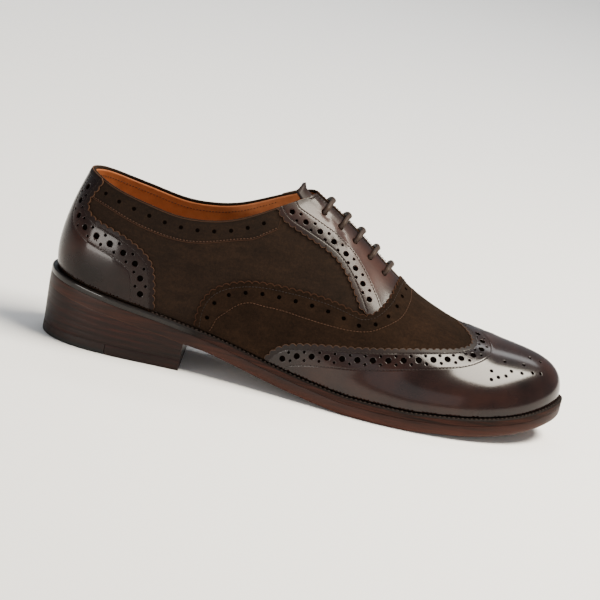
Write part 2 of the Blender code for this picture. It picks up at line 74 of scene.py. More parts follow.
# Ridge over the foot: along (percent of length), height (percent of instep), side (mm)
ridgeRows = np.array([
    (6.7, 134.0, 0.0), (20.0, 132.0, 0.0), (33.3, 124.0, 1.0), (42.7, 107.6, 2.0), (46.7, 100.2, 2.5),
    (50.3, 94.4, 3.0), (56.7, 82.8, 4.0), (64.0, 67.6, 5.0), (68.0, 60.4, 5.5), (74.3, 52.1, 6.0),
    (80.3, 46.6, 6.5), (86.0, 44.0, 6.5), (91.7, 41.8, 6.0),
])
# Underside of the outsole: along (percent of length), height (percent of the seat's)
undersideRows = np.array([
    (-1.7, 102.1), (9.3, 86.1), (15.3, 77.4), (23.7, 65.2), (29.3, 55.4), (35.0, 44.6), (41.0, 30.7),
    (49.7, 13.6), (55.7, 4.9), (61.3, -0.6), (66.7, -1.2), (71.3, -0.4), (77.7, 4.0), (83.3, 8.4),
    (91.0, 18.5), (95.0, 27.5), (98.3, 38.0), (102.0, 52.0),
])
# Collar from the side: along (percent of length), height (percent of the back's)
collarRows = np.array([
    (-3.3, 101.5), (3.7, 100.2), (6.7, 98.0), (10.0, 95.3), (16.0, 91.6), (21.7, 88.8), (27.0, 89.4),
    (32.3, 93.2), (37.0, 99.8), (40.7, 105.8), (44.7, 111.6), (50.0, 117.5),
])
# Welt beyond the upper: rib, outer side, inner side (mm)
weltRows = np.array([
    (0, 4.4, 4.4), (2, 3.4, 3.4), (3, 2.8, 2.6), (4, 3.2, 2.6), (6, 5.0, 4.6), (9, 4.6, 4.6),
])
toeRib = 9
wholeTurn = 2 * toeRib  # rib r on the outer side and wholeTurn - r on the inner side share a ridge point


def splineThrough(at, rows, period=None):
    # Cubic spline: rows blend linearly between knots, minus bends that make slope and curvature run on
    at = np.asarray(at, float)
    rows = np.asarray(rows, float)
    if period:
        at = np.concatenate([at - period, at, at + period])
        rows = np.concatenate([rows] * 3)
    step = np.diff(at)
    matrix = np.eye(len(at))
    inner = np.arange(1, len(at) - 1)
    matrix[inner, inner - 1] = step[:-1]
    matrix[inner, inner] = 2 * (step[:-1] + step[1:])
    matrix[inner, inner + 1] = step[1:]
    turn = 6 * np.diff(np.diff(rows, axis=0) / step[:, None], axis=0)
    bend = np.linalg.solve(matrix, np.pad(turn, ((1, 1), (0, 0))))

    def value(t):
        t = np.clip(np.asarray(t, float), at[0], at[-1])
        k = np.clip(np.searchsorted(at, t, side="right") - 1, 0, len(at) - 2)
        ahead = ((t - at[k]) / step[k])[..., None]
        behind = 1 - ahead
        sag = (behind**3 - behind) * bend[k] + (ahead**3 - ahead) * bend[k + 1]
        return behind * rows[k] + ahead * rows[k + 1] + sag * step[k][..., None] ** 2 / 6

    return value


def ribColumn(outer, inner):
    # One column of the table all round: the outer side to the toe, then the inner side back to the heel
    return np.concatenate([ribRows[:, outer], ribRows[toeRib - 1 : 0 : -1, inner]])


def percentOf(size, share):
    # A share, in percent, of one size of the last
    return share * last[size] / 100


ribValues = splineThrough(
    np.arange(wholeTurn),
    np.stack([
        percentOf("length", ribColumn(0, 2)), percentOf("ballWidth", ribColumn(1, 3)),
        ribColumn(5, 6), ribColumn(7, 8), ribColumn(9, 10), percentOf("length", ribColumn(4, 4)),
    ], axis=1),
    wholeTurn,
)
ridgeValues = splineThrough(
    percentOf("length", ridgeRows[:, 0]),
    np.stack([ridgeRows[:, 2], percentOf("instepHeight", ridgeRows[:, 1])], axis=1),
)
undersideValues = splineThrough(
    percentOf("length", undersideRows[:, 0]), percentOf("seatHeight", undersideRows[:, 1:])
)
collarValues = splineThrough(percentOf("length", collarRows[:, 0]), percentOf("backHeight", collarRows[:, 1:]))
weltValues = splineThrough(
    np.concatenate([weltRows[:, 0], wholeTurn - weltRows[-2:0:-1, 0]]),
    np.concatenate([weltRows[:, 1], weltRows[-2:0:-1, 2]])[:, None],
    wholeTurn,
)


def unit(vectors):
    # Vectors divided by their lengths
    return vectors / np.maximum(np.linalg.norm(vectors, axis=-1, keepdims=True), 1e-12)


def underside(x):
    # Height of the tread: the spline, but never under the floor
    return np.maximum(undersideValues(x)[..., 0], 0)


def featherHeight(x):
    # Where the upper starts: the tread plus outsole, welt and their gaps
    return underside(x) + last["outsole"] + last["welt"] + 2 * last["gap"]


def outward(rib):
    # Plan direction square to the feather line: its tangent turned a quarter
    step = unit((ribValues(rib + 0.01) - ribValues(rib - 0.01))[..., :2])
    return np.stack([step[..., 1], -step[..., 0]], axis=-1)


def planOutline(rib, out):
    # The feather line in plan, moved out square to itself
    return ribValues(rib)[..., :2] + outward(rib) * np.asarray(out)[..., None]


def soleOutline(rib, inset=0.0):
    # The feather line plus the welt's width, less an inset
    return planOutline(rib, weltValues(rib)[..., 0] - inset)


def ribPoint(rib, up):
    # Cubic from the rib's foot (up 0) by way of its swell and shoulder to the ridge (up 1)
    rib, up = np.broadcast_arrays(np.asarray(rib, float), np.asarray(up, float))
    x, y, bulge, rise, crown, ridgeX = np.moveaxis(ribValues(rib), -1, 0)
    foot = np.stack([x, y, featherHeight(x)], axis=-1)
    ridge = np.concatenate([ridgeX[..., None], ridgeValues(ridgeX)], axis=-1)
    swell = foot + np.concatenate([outward(rib) * bulge[..., None], rise[..., None]], axis=-1)
    spread = crown[..., None] * unit((foot - ridge)[..., :2])
    slope = (ridgeValues(ridgeX + 0.5) - ridgeValues(ridgeX - 0.5))[..., 1]
    shoulder = ridge + np.concatenate([spread, (slope * spread[..., 0])[..., None]], axis=-1)
    up = up[..., None]
    down = 1 - up
    return down**3 * foot + 3 * down**2 * up * swell + 3 * down * up**2 * shoulder + up**3 * ridge


ribNudge = 0.02  # small steps along the shoe, in ribs, and up a rib, for the slope of the surface
upNudge = 0.01
topLimit = 0.999  # share up a rib past which a point counts as the ridge


def surfaceSteps(rib, up):
    # How far the surface moves for one rib and for the whole way up
    near = np.clip(up, upNudge, 1 - upNudge)
    perRib = (ribPoint(rib + ribNudge, near) - ribPoint(rib - ribNudge, near)) / (2 * ribNudge)
    perUp = (ribPoint(rib, near + upNudge) - ribPoint(rib, near - upNudge)) / (2 * upNudge)
    return perRib, perUp


def ribNormal(rib, up):
    # Cross product of the two surface steps
    return unit(np.cross(*surfaceSteps(rib, up)))


# Soft creases: from rib, up to rib, up, half width (mm), depth (mm, negative is a trough)
creases = np.array([
    (2.95, 0.10, 2.80, 0.30, 9.0, -0.55),
    (3.25, 0.33, 3.75, 0.50, 5.0, 0.30),
    (4.60, 0.50, 5.05, 0.50, 7.0, -0.45),
    (5.95, 0.55, 6.10, 0.80, 4.5, -0.35),
    (6.25, 0.50, 6.40, 0.78, 4.0, 0.25),
    (4.28, 0.80, 4.66, 0.845, 2.4, -0.34),
    (4.40, 0.875, 4.50, 0.865, 2.6, 0.22),
    (4.52, 0.90, 4.60, 0.82, 1.8, -0.26),
    (4.66, 0.84, 4.78, 0.74, 2.0, 0.26),
    (4.85, 0.82, 4.95, 0.76, 1.8, -0.20),
])
ribSpan = 33.0  # about one rib's width, mm
upSpan = 95.0  # about a rib's length, mm


def relief(rib, up):
    # Each crease: depth times a bell of the distance to its line; both sides of the shoe have them
    rib = np.where(rib % wholeTurn > toeRib, wholeTurn - rib % wholeTurn, rib % wholeTurn)
    total = np.zeros(np.broadcast(rib, up).shape)
    for ribA, upA, ribB, upB, width, depth in creases:
        run = np.array([(ribB - ribA) * ribSpan, (upB - upA) * upSpan])
        away = np.stack(np.broadcast_arrays((rib - ribA) * ribSpan, (up - upA) * upSpan), axis=-1)
        share = np.clip(away @ run / (run @ run), 0, 1)
        gap = np.linalg.norm(away - share[..., None] * run, axis=-1)
        total += depth * np.exp(-((gap / width) ** 2))
    return total


def shoePoint(rib, up, out=0.0):
    # Outer face of the upper with its creases, moved out along the normal; the ridge has one normal
    rib, up = np.broadcast_arrays(np.asarray(rib, float), np.asarray(up, float))
    normal = ribNormal(rib, up)
    top = up > topLimit
    if top.any():
        normal[top] = unit(normal[top] + ribNormal(wholeTurn - rib[top], up[top]))
    return ribPoint(rib, up) + normal * (np.asarray(out) + relief(rib, up))[..., None]


def shoeNormal(rib, up):
    # Cross product of small steps on the creased face
    near = np.clip(up, 0.006, 0.994)
    forward = shoePoint(rib + ribNudge, near) - shoePoint(rib - ribNudge, near)
    upward = shoePoint(rib, near + 0.005) - shoePoint(rib, near - 0.005)
    return unit(np.cross(forward, upward))


def ribTop(rib):
    # Share up each rib where the collar, or the slit between the facings, cuts it
    up = np.linspace(0, 1, 400)
    point = ribPoint(np.asarray(rib, float)[:, None], up)
    x = point[..., 0]
    overCollar = point[..., 2] - collarValues(x)[..., 0]
    share = np.clip((last["throatX"] - x) / (last["throatX"] - last["facingTopX"]), 0, 1)
    narrow, wide = last["slitHalfGap"]
    laced = (x < last["throatX"]) & (x > last["facingTopX"] - last["facingMargin"])
    halfGap = np.where(laced, narrow + (wide - narrow) * share, -1)
    past = np.maximum(overCollar, halfGap - abs(point[..., 1] - ridgeValues(x)[..., 0]))
    stop = np.where((past > 0).any(axis=1), np.argmax(past > 0, axis=1), len(up) - 1)
    pick = np.arange(len(past))
    before, after = past[pick, stop - 1], past[pick, stop]
    part = np.where(after > 0, before / np.where(after > before, before - after, -1.0), 1.0)
    return up[stop - 1] + np.clip(part, 0, 1) * (up[stop] - up[stop - 1])


floorPlan = soleOutline(np.linspace(0, wholeTurn, 721))
shoeCentre = np.append((floorPlan.min(axis=0) + floorPlan.max(axis=0)) / 2, 0.0)
print("last ready, centre", shoeCentre.round(2))


# Lines on the upper are arrays of (rib, up)

def onLast(line):
    # Points of a line on the bare last
    return ribPoint(line[:, 0], np.clip(line[:, 1], 0, 1))


def onShoe(line, out):
    # Points over a line, at a distance out that is a number or a function of the line
    return shoePoint(line[:, 0], line[:, 1], out(line) if callable(out) else out)


def normalsAt(line):
    # Normals of the creased face along a line
    return shoeNormal(line[:, 0], line[:, 1])


def runLength(points):
    # Distance from the first point, summed along the way
    return np.concatenate([[0], np.cumsum(np.linalg.norm(np.diff(points, axis=0), axis=1))])


def readAlong(at, run, rows):
    # Rows at given distances along a run, straight between its points
    return np.stack([np.interp(at, run, column) for column in rows.T], axis=1)


def evenSteps(line, step):
    # The same line with points at equal distances along it
    run = runLength(onLast(line))
    at = np.linspace(0, run[-1], max(2, int(round(run[-1] / step)) + 1))
    return readAlong(at, run, line)


def smoothLine(rows, step=0.4):
    # Spline through the rows, read at equal distances (mm)
    rows = np.asarray(rows, float)
    table = splineThrough(np.arange(len(rows)), rows)
    return evenSteps(table(np.linspace(0, len(rows) - 1, 40 * len(rows))), step)


def innerSide(line):
    # Mirrors a line: rib r becomes the whole turn less r
    return np.stack([wholeTurn - line[:, 0], line[:, 1]], axis=1)


def overRidge(line):
    # What passes the ridge comes down the other side
    past = line[:, 1] > 1
    return np.where(past[:, None], np.stack([wholeTurn - line[:, 0], 2 - line[:, 1]], axis=1), line)


def slideBy(line, move):
    # Least squares on the two surface tangents turns a move in space into one of (rib, up)
    a, b = surfaceSteps(line[:, 0], line[:, 1])
    aa, bb, ab = (a * a).sum(-1), (b * b).sum(-1), (a * b).sum(-1)
    ma, mb = (move * a).sum(-1), (move * b).sum(-1)
    det = aa * bb - ab * ab
    return line + np.stack([(ma * bb - mb * ab) / det, (mb * aa - ma * ab) / det], axis=-1)


def offsetLine(line, distance, side=1):
    # Moves each point square to the line, to its left on the outer side of the shoe (side 1)
    along = unit(np.gradient(onLast(line), axis=0))
    left = np.cross(ribNormal(line[:, 0], line[:, 1]), along) * side
    return slideBy(line, left * np.broadcast_to(distance, len(line))[:, None])


def circleAt(centre, radius, count=14):
    # Points round a centre in the surface's tangent plane
    centre = np.repeat(np.array([centre], float), count, axis=0)
    normal = ribNormal(centre[:, 0], centre[:, 1])
    first = unit(surfaceSteps(centre[:, 0], centre[:, 1])[0])
    second = np.cross(normal, first)
    angle = np.linspace(0, 2 * math.pi, count, endpoint=False)[:, None]
    return overRidge(slideBy(centre, radius * (np.cos(angle) * first + np.sin(angle) * second)))


def developed(line):
    # Flat chart: from the ridge point, straight along the rib's plan direction by the length left up the rib
    rib, up = line[:, 0], np.clip(line[:, 1], 0, 1)
    values = ribValues(rib)
    ridge = np.stack([values[:, 5], ridgeValues(values[:, 5])[:, 0]], axis=1)
    way = up[:, None] + (1 - up)[:, None] * np.linspace(0, 1, 10)
    arc = np.linalg.norm(np.diff(ribPoint(rib[:, None], way), axis=1), axis=2).sum(axis=1)
    return ridge + unit(values[:, :2] - ridge) * arc[:, None]


def insideLoop(points, loop):
    # Even-odd rule: a ray to the right crosses the loop an odd number of times
    ahead = np.roll(loop, -1, axis=0)
    rise = ahead[:, 1] - loop[:, 1]
    rise = np.where(abs(rise) < 1e-12, 1e-12, rise)
    answer = []
    for block in np.array_split(points, max(1, len(points) // 2000)):
        y = block[:, 1:2]
        crosses = (loop[:, 1] > y) != (ahead[:, 1] > y)
        at = loop[:, 0] + (y - loop[:, 1]) * (ahead[:, 0] - loop[:, 0]) / rise
        answer.append((crosses & (block[:, :1] < at)).sum(axis=1) % 2 == 1)
    return np.concatenate(answer)


def nearest(points, others):
    # Distance from each point to the nearest of the others, and which one that is
    gaps, picks = [], []
    for block in np.array_split(points, max(1, len(points) // 1500)):
        square = (block**2).sum(1)[:, None] + (others**2).sum(1) - 2 * block @ others.T
        pick = square.argmin(axis=1)
        gaps.append(np.linalg.norm(block - others[pick], axis=1))
        picks.append(pick)
    return np.concatenate(gaps), np.concatenate(picks)


# Meshes

def newMesh(name, points, faces):
    # Puts points (mm, along the last) into the frame (m)
    mesh = bpy.data.meshes.new(name)
    faces = faces.tolist() if isinstance(faces, np.ndarray) else faces
    mesh.from_pydata(((np.asarray(points).reshape(-1, 3) - shoeCentre) * mm).tolist(), [], faces)
    return mesh


def paint(mesh, name, values):
    # One number per point, for the finishes to read
    layer = mesh.attributes.new(name, "FLOAT", "POINT")
    layer.data.foreach_set("value", values.astype(np.float32).ravel())


def newPiece(name, mesh, finish, replaces=()):
    piece = bpy.data.objects.new(name, mesh)
    bpy.context.scene.collection.objects.link(piece)
    mesh.materials.append(finish)
    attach(piece, "root")
    if replaces:
        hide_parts(*replaces)
    print("piece", name, len(mesh.polygons), "faces")
    return piece


weldGap = 0.004  # mm


def weldSmooth(mesh, angle=40):
    # Joins doubles, points the faces out and rounds the shading below an angle
    shape = bmesh.new()
    shape.from_mesh(mesh)
    bmesh.ops.remove_doubles(shape, verts=shape.verts, dist=weldGap * mm)
    bmesh.ops.recalc_face_normals(shape, faces=shape.faces)
    shape.to_mesh(mesh)
    shape.free()
    mesh.shade_smooth()
    mesh.set_sharp_from_angle(angle=math.radians(angle))
    return mesh


def smoothPiece(name, points, faces, finish, slot=None, replaces=(), angle=40):
    # Mesh, weld and piece in one
    return newPiece(name, weldSmooth(newMesh(name, points, faces), angle), finish, replaces)


def gridFaces(columns, rows, closedColumns=False, closedRows=False):
    # Quads of a grid whose points run along each column first
    i = np.arange(columns if closedColumns else columns - 1)[:, None]
    j = np.arange(rows if closedRows else rows - 1)[None, :]
    nextI, nextJ = (i + 1) % columns, (j + 1) % rows
    corners = [i * rows + j, nextI * rows + j, nextI * rows + nextJ, i * rows + nextJ]
    return np.stack(np.broadcast_arrays(*corners), axis=-1).reshape(-1, 4)


def thicken(piece, thickness):
    # A wall inwards from the sheet
    wall = piece.modifiers.new("wall", "SOLIDIFY")
    wall.thickness = thickness * mm
    wall.offset = -1
    wall.use_even_offset = False


def triangulate(loops, inner):
    # Delaunay triangles of the flat chart, inside the first loop and outside the others
    sizes = [len(loop) for loop in loops]
    label = np.concatenate([np.full(size, k) for k, size in enumerate(sizes)] + [np.full(len(inner), -1)])
    starts = np.cumsum([0] + sizes)
    edges = np.concatenate([
        np.stack([start + np.arange(size), start + (np.arange(size) + 1) % size], axis=1)
        for start, size in zip(starts, sizes)
    ])
    flat = developed(np.concatenate(loops + [inner]))
    made = delaunay_2d_cdt([Vector(p) for p in flat.tolist()], edges.tolist(), [], 0, 1e-6)
    source = np.array([(came + [-1])[0] for came in made[3]])
    faces = source[np.array(made[2])]
    faces = faces[(faces >= 0).all(axis=1)]
    names = label[faces]
    same = (names[:, 0] == names[:, 1]) & (names[:, 1] == names[:, 2])
    keep = ~(same & (names[:, 0] > 0))
    unsure = np.flatnonzero(same & (names[:, 0] == 0))
    keep[unsure] = insideLoop(flat[faces[unsure]].mean(axis=1), flat[: sizes[0]])
    return faces[keep], label


# Rounded edge of a cut: width and drop at a hole (mm), lean of its shading
rim = {"width": 0.35, "holeDrop": 0.10, "lean": 0.7}
groove = {"depth": 0.13, "width": 0.36, "rows": (-0.8, -0.4, 0.0, 0.4, 0.8)}  # along a stitch line (mm)
# Points inside a panel: distances (mm), least gaps as shares of the rim's width (rim, hole) and of the spacing
# (even), and the first row's share up the rib
spread = {"spacing": 2.0, "seamStep": 0.9, "grooveStep": 0.3, "foldStep": 0.5, "rimGap": 0.6, "holeGap": 0.5,
          "evenGap": 0.45, "firstUp": 0.01}


def insetLoop(loop, distance):
    # Points inside a closed outline, square to it
    point = onLast(loop)
    along = unit(np.roll(point, -1, axis=0) - np.roll(point, 1, axis=0))
    flat = developed(loop)
    turn = np.roll(flat, -1, axis=0)
    area = (flat[:, 0] * turn[:, 1] - flat[:, 1] * turn[:, 0]).sum()
    left = np.cross(ribNormal(loop[:, 0], loop[:, 1]), along)
    return overRidge(slideBy(loop, left * distance * np.sign(area)))


def panelPoints(loops, holes, seams):
    # Points inside a panel: a rim along every cut, rows beside every stitch line, and an even spread between
    close = [insetLoop(loops[0], rim["width"])] + [circleAt(hole[:2], hole[2] + rim["width"]) for hole in holes]
    sewn = [evenSteps(line, spread["seamStep"]) for line in seams]
    close = np.concatenate(close + [overRidge(offsetLine(line, d)) for line in sewn for d in groove["rows"]])
    ribs = np.arange(loops[0][:, 0].min(), loops[0][:, 0].max(), spread["spacing"] / ribSpan)
    ups = np.arange(spread["firstUp"], 1.0, spread["spacing"] / upSpan)
    even = np.stack(np.meshgrid(ribs, ups, indexing="ij"), axis=-1).reshape(-1, 2)
    cuts = onLast(np.concatenate(loops))
    close = close[(close[:, 1] > 0) & (close[:, 1] < 1)]
    close = close[nearest(onLast(close), cuts)[0] > spread["rimGap"] * rim["width"]]
    taken = np.concatenate([cuts, onLast(close)])
    even = even[nearest(onLast(even), taken)[0] > spread["evenGap"] * spread["spacing"]]
    inner = np.concatenate([close, even])
    inner = inner[insideLoop(developed(inner), developed(loops[0]))]
    if len(holes):
        holes = np.array(holes)
        gap, pick = nearest(onLast(inner), onLast(holes[:, :2]))
        inner = inner[gap > holes[pick, 2] + spread["holeGap"] * rim["width"]]
    return inner


def levelAway(spot, target, normal):
    # Unit step from a target to each spot, level with the surface
    away = spot - target
    away -= (away * normal).sum(axis=1, keepdims=True) * normal
    return unit(away)


def cutPanel(name, outline, holes, low, thickness, finish, replaces=(), seams=(), fold=None, soft=0.25):
    # A leather panel: two faces over the upper, cut along an outline and punched with holes (rib, up, radius),
    # with a wall round every cut, a rounded upper edge and a groove along each stitch line
    loops = [overRidge(outline)] + [circleAt(hole[:2], hole[2]) for hole in holes]
    inner = panelPoints(loops, holes, seams)
    faces, label = triangulate(loops, inner)
    place = np.concatenate(loops + [inner])
    normal = normalsAt(place)
    spot = onLast(place)
    lowOut = low(place) if callable(low) else np.full(len(place), float(low))
    rounded = np.where(label == 0, soft, np.where(label > 0, min(soft, rim["holeDrop"]), 0))
    highOut = lowOut + thickness - rounded
    topNormal = normal
    if len(seams):
        stitched = onLast(np.concatenate([evenSteps(line, spread["grooveStep"]) for line in seams]))
        gap, pick = nearest(spot, stitched)
        bell = groove["depth"] * np.exp(-((gap / groove["width"]) ** 2))
        highOut = highOut - bell
        slope = 2 * gap / groove["width"] ** 2 * bell
        topNormal = unit(normal - slope[:, None] * levelAway(spot, stitched[pick], normal))
    if fold:  # pressed down beyond the inner stitch line: depth is tilt times s times exp(-s / reach)
        edge = onLast(np.concatenate([evenSteps(line, spread["foldStep"]) for line in fold["lines"]]))
        gap, pick = nearest(spot, edge)
        beyond = gap - fold["start"]
        fade = fold["tilt"] * np.exp(-np.maximum(beyond, 0) / fold["reach"]) * (beyond > 0)
        highOut = highOut - fade * beyond
        slope = fade * (1 - beyond / fold["reach"])
        topNormal = unit(topNormal + slope[:, None] * levelAway(spot, edge[pick], normal))
    bottom = onShoe(place, lowOut)
    top = onShoe(place, highOut)
    facing = np.cross(top[faces[:, 1]] - top[faces[:, 0]], top[faces[:, 2]] - top[faces[:, 0]])
    turned = (facing * normal[faces].mean(axis=1)).sum(axis=1) < 0
    faces[turned] = faces[turned][:, ::-1]
    count = len(place)
    edges = np.concatenate([faces[:, [0, 1]], faces[:, [1, 2]], faces[:, [2, 0]]])
    cut = edges[~np.isin(edges[:, 0] * count + edges[:, 1], edges[:, 1] * count + edges[:, 0])]
    walls = np.stack([cut[:, 1], cut[:, 0], cut[:, 0] + count, cut[:, 1] + count], axis=1)
    wallOut = unit(np.cross(top[cut[:, 1]] - top[cut[:, 0]], normal[cut[:, 0]]))
    lean = np.zeros_like(normal)
    np.add.at(lean, cut[:, 0], wallOut)
    np.add.at(lean, cut[:, 1], wallOut)
    lean = unit(lean)
    topNormal = unit(topNormal + rim["lean"] * lean)
    under = faces[:, ::-1]
    allFaces = faces.tolist() + (under + count).tolist() + walls.tolist()
    mesh = newMesh(name, np.concatenate([top, bottom]), allFaces)
    mesh.shade_smooth()
    corners = [topNormal[faces], -normal[under], lean[cut[:, [1, 0, 0, 1]]]]
    mesh.normals_split_custom_set(np.concatenate([corner.reshape(-1, 3) for corner in corners]).tolist())
    free = loops[0][loops[0][:, 1] > overlayStart + 0.003]  # the edge at the sole doesn't count
    inset = nearest(spot, onLast(free))[0]
    paint(mesh, "inset", np.concatenate([inset, inset]))
    return newPiece(name, mesh, finish, replaces)


def gimped(line, side):
    # A row of rounded teeth: depth times the root of a rectified sine along the line
    run = runLength(onLast(line))
    teeth = max(1, round(run[-1] / gimp["pitch"]))
    tooth = gimp["depth"] * np.sqrt(abs(np.sin(math.pi * teeth * run / run[-1])))
    return offsetLine(line, tooth, side)


def punchRow(line, pitch, radius, start=0.5, beside=None):
    # Holes (rib, up, radius) at equal distances along a line, or on the line beside it at the same places
    run = runLength(onLast(line))
    count = max(1, int(run[-1] / pitch))
    at = (np.arange(count) + start) * run[-1] / count
    return [(rib, up, radius) for rib, up in readAlong(at, run, line if beside is None else beside)]


def punchBand(line, band, side):
    # Big holes along the middle of the band with a pair of small ones between each two
    middle = offsetLine(line, -band["middle"], side)
    middle = middle[(middle[:, 1] > band["lowest"]) & (middle[:, 1] < band["highest"])]
    holes = punchRow(middle, band["pitch"], band["big"])
    if band["small"]:
        for shift in (-band["pair"], band["pair"]):
            holes += punchRow(middle, band["pitch"], band["small"], 1.0, offsetLine(middle, shift, side))[:-1]
    return holes


grain = {"rings": 6, "around": 6, "sink": 0.35}  # of one stitch; its ends sink by this share of its width
stitchRuns = {"dark": [], "tan": [], "welt": []}
stitchStart = 0.004  # lowest stitch on the upper, as a share up the rib


def stitchesAlong(points, normals, look):
    # Each stitch is a short grain: an ellipse swept round its own length, sunk at both ends
    run = runLength(points)
    count = int(run[-1] / look["pitch"])
    at = (np.arange(count) + 0.5) * run[-1] / count
    centre = readAlong(at, run, points)
    normal = unit(readAlong(at, run, normals))
    half = 0.5 * look["length"]
    along = unit(readAlong(at + half, run, points) - readAlong(at - half, run, points))
    side = np.cross(normal, along)
    place = np.linspace(-1, 1, grain["rings"])[:, None]
    girth = np.sqrt(np.maximum(1 - place**4, 0)) * 0.5 * look["width"]
    angle = np.linspace(0, 2 * math.pi, grain["around"], endpoint=False)[None, :]
    height = girth * np.sin(angle) + look["lift"] - grain["sink"] * look["width"] * place**2
    shape = (place * half + 0 * angle, girth * np.cos(angle), height)
    body = sum(axis[:, None, None, :] * part[None, ..., None] for axis, part in zip((along, side, normal), shape))
    return (centre[:, None, None, :] + body).reshape(-1, 3)


def stitchLine(line, out, look, thread):
    # Sews along the part of a line that lies between the sole and the ridge, and returns that part
    line = line[(line[:, 1] > stitchStart) & (line[:, 1] < topLimit)]
    stitchRuns[thread].append(stitchesAlong(onShoe(line, out), normalsAt(line), look))
    return line


# Shader maths

class Wire:
    # A socket that arithmetic can be written with
    def __init__(self, finish, socket):
        self.finish = finish
        self.socket = socket

    def maths(self, operation, *values):
        return self.finish.add("ShaderNodeMath", {"operation": operation}, dict(enumerate(values)))

    def __add__(self, other): return self.maths("ADD", self, other)
    def __radd__(self, other): return self.maths("ADD", other, self)
    def __sub__(self, other): return self.maths("SUBTRACT", self, other)
    def __rsub__(self, other): return self.maths("SUBTRACT", other, self)
    def __mul__(self, other): return self.maths("MULTIPLY", self, other)
    def __rmul__(self, other): return self.maths("MULTIPLY", other, self)
    def limited(self): return self.maths("MINIMUM", self.maths("MAXIMUM", self, 0.0), 1.0)


class Finish:
    # A material and its nodes; add() makes any node from its type, settings and sockets
    def __init__(self, name, **constants):
        self.material = bpy.data.materials.new(name)
        self.material.use_nodes = True
        self.tree = self.material.node_tree
        self.shader = self.tree.nodes["Principled BSDF"]
        for socket, value in constants.items():
            self.shader.inputs[socket.replace("_", " ")].default_value = value
        self.place = self.add("ShaderNodeTexCoord", {}, {}, "Object")

    def add(self, kind, settings, sockets, output=0):
        node = self.tree.nodes.new(kind)
        for key, value in settings.items():
            if key == "stops":
                ramp = node.color_ramp.elements
                for k, (at, colour) in enumerate(value):
                    stop = ramp[k] if k < 2 else ramp.new(at)
                    stop.position = at
                    stop.color = (*colour, 1.0)
            else:
                setattr(node, key, value)
        for key, value in sockets.items():
            socket = node.inputs[key] if isinstance(key, int) else next(
                s for s in node.inputs if key in (s.identifier, s.name) and s.enabled)
            if isinstance(value, Wire):
                self.tree.links.new(value.socket, socket)
            else:
                socket.default_value = value
        if isinstance(output, str):
            output = next(k for k, s in enumerate(node.outputs) if output in (s.identifier, s.name) and s.enabled)
        return Wire(self, node.outputs[output])

    def noise(self, scale, detail=3.0, rough=0.5, stretch=(1, 1, 1)):
        where = self.place
        if stretch != (1, 1, 1):
            where = self.add("ShaderNodeMapping", {}, {"Vector": self.place, "Scale": stretch})
        sockets = {"Vector": where, "Scale": scale, "Detail": detail, "Roughness": rough}
        return self.add("ShaderNodeTexNoise", {}, sockets, "Fac")

    def ramp(self, value, stops):
        return self.add("ShaderNodeValToRGB", {"stops": stops}, {"Fac": value}, "Color")

    def blend(self, share, first, second):
        sockets = {"Factor_Float": share, "A_Color": first, "B_Color": second}
        return self.add("ShaderNodeMix", {"data_type": "RGBA"}, sockets, "Result_Color")

    def steps(self, value, low, high):
        # 0 below low, 1 above high, straight in between
        return self.add("ShaderNodeMapRange", {}, {"Value": value, "From Min": low, "From Max": high})

    def attribute(self, name):
        return self.add("ShaderNodeAttribute", {"attribute_name": name}, {}, "Fac")

    def feed(self, **sockets):
        for socket, wire in sockets.items():
            self.tree.links.new(wire.socket, self.shader.inputs[socket.replace("_", " ")])

    def bump(self, height, strength, distance):
        sockets = {"Strength": strength, "Distance": distance * mm, "Height": height}
        self.feed(Normal=self.add("ShaderNodeBump", {}, sockets, "Normal"))


def rgb(red, green, blue):
    # A colour with full alpha
    return (red, green, blue, 1.0)


def shaded(colour, factor):
    # Each channel times a factor
    return tuple(c * factor for c in colour)


# Suede: fine nap that catches the light in patches, with slow changes of shade
suedeLook = {
    "dark": (0.0032, 0.0017, 0.0009), "light": (0.0096, 0.0050, 0.0028), "worn": (0.0190, 0.0098, 0.0052),
    "raw": (0.036, 0.0160, 0.0090),
}


def makeSuede(name, shade=1.0, edged=False, sheen=0.07, shine=0.12):
    # Tone is a weighted sum of nap, brushed streaks and patches, read on a ramp of three browns
    suede = Finish(name, Roughness=0.95, Specular_IOR_Level=shine, Sheen_Weight=sheen, Sheen_Roughness=0.45,
                   Sheen_Tint=rgb(0.50, 0.33, 0.22))
    nap = suede.noise(620, 5, 0.75)
    brushed = suede.noise(170, 4, 0.65, (0.5, 1, 1.4))
    patches = suede.noise(28, 3, 0.55)
    tone = (0.62 * nap + 0.46 * brushed + 0.45 * patches - 0.26).limited()
    stops = ((0.25, "dark"), (0.80, "worn"), (0.52, "light"))
    colour = suede.ramp(tone, [(at, shaded(suedeLook[brown], shade)) for at, brown in stops])
    if edged:  # painted shade along the cut edge, and the raw cut colour at the edge itself
        inset = suede.attribute("inset")
        # Painted shade: darker within a few millimetres of the cut edge
        colour = suede.blend(0.6 - 0.6 * suede.steps(inset, 0.4, 2.6), colour, rgb(*suedeLook["dark"]))
        colour = suede.blend(1 - suede.steps(inset, 0.10, 0.55), colour, rgb(*suedeLook["raw"]))
    suede.feed(Base_Color=colour)
    suede.bump(0.6 * nap + 0.4 * brushed, 0.6, 0.6)
    return suede.material


# Polished calf: darker towards its cut edges, partly burnishing and partly painted shade, with pores and a waxed
# coat
calfLook = {
    "body": (0.0108, 0.0052, 0.0045), "burnishAndShade": (0.0050, 0.0028, 0.0026), "glow": (0.0215, 0.0084, 0.0061),
    "raw": (0.062, 0.031, 0.017),
}


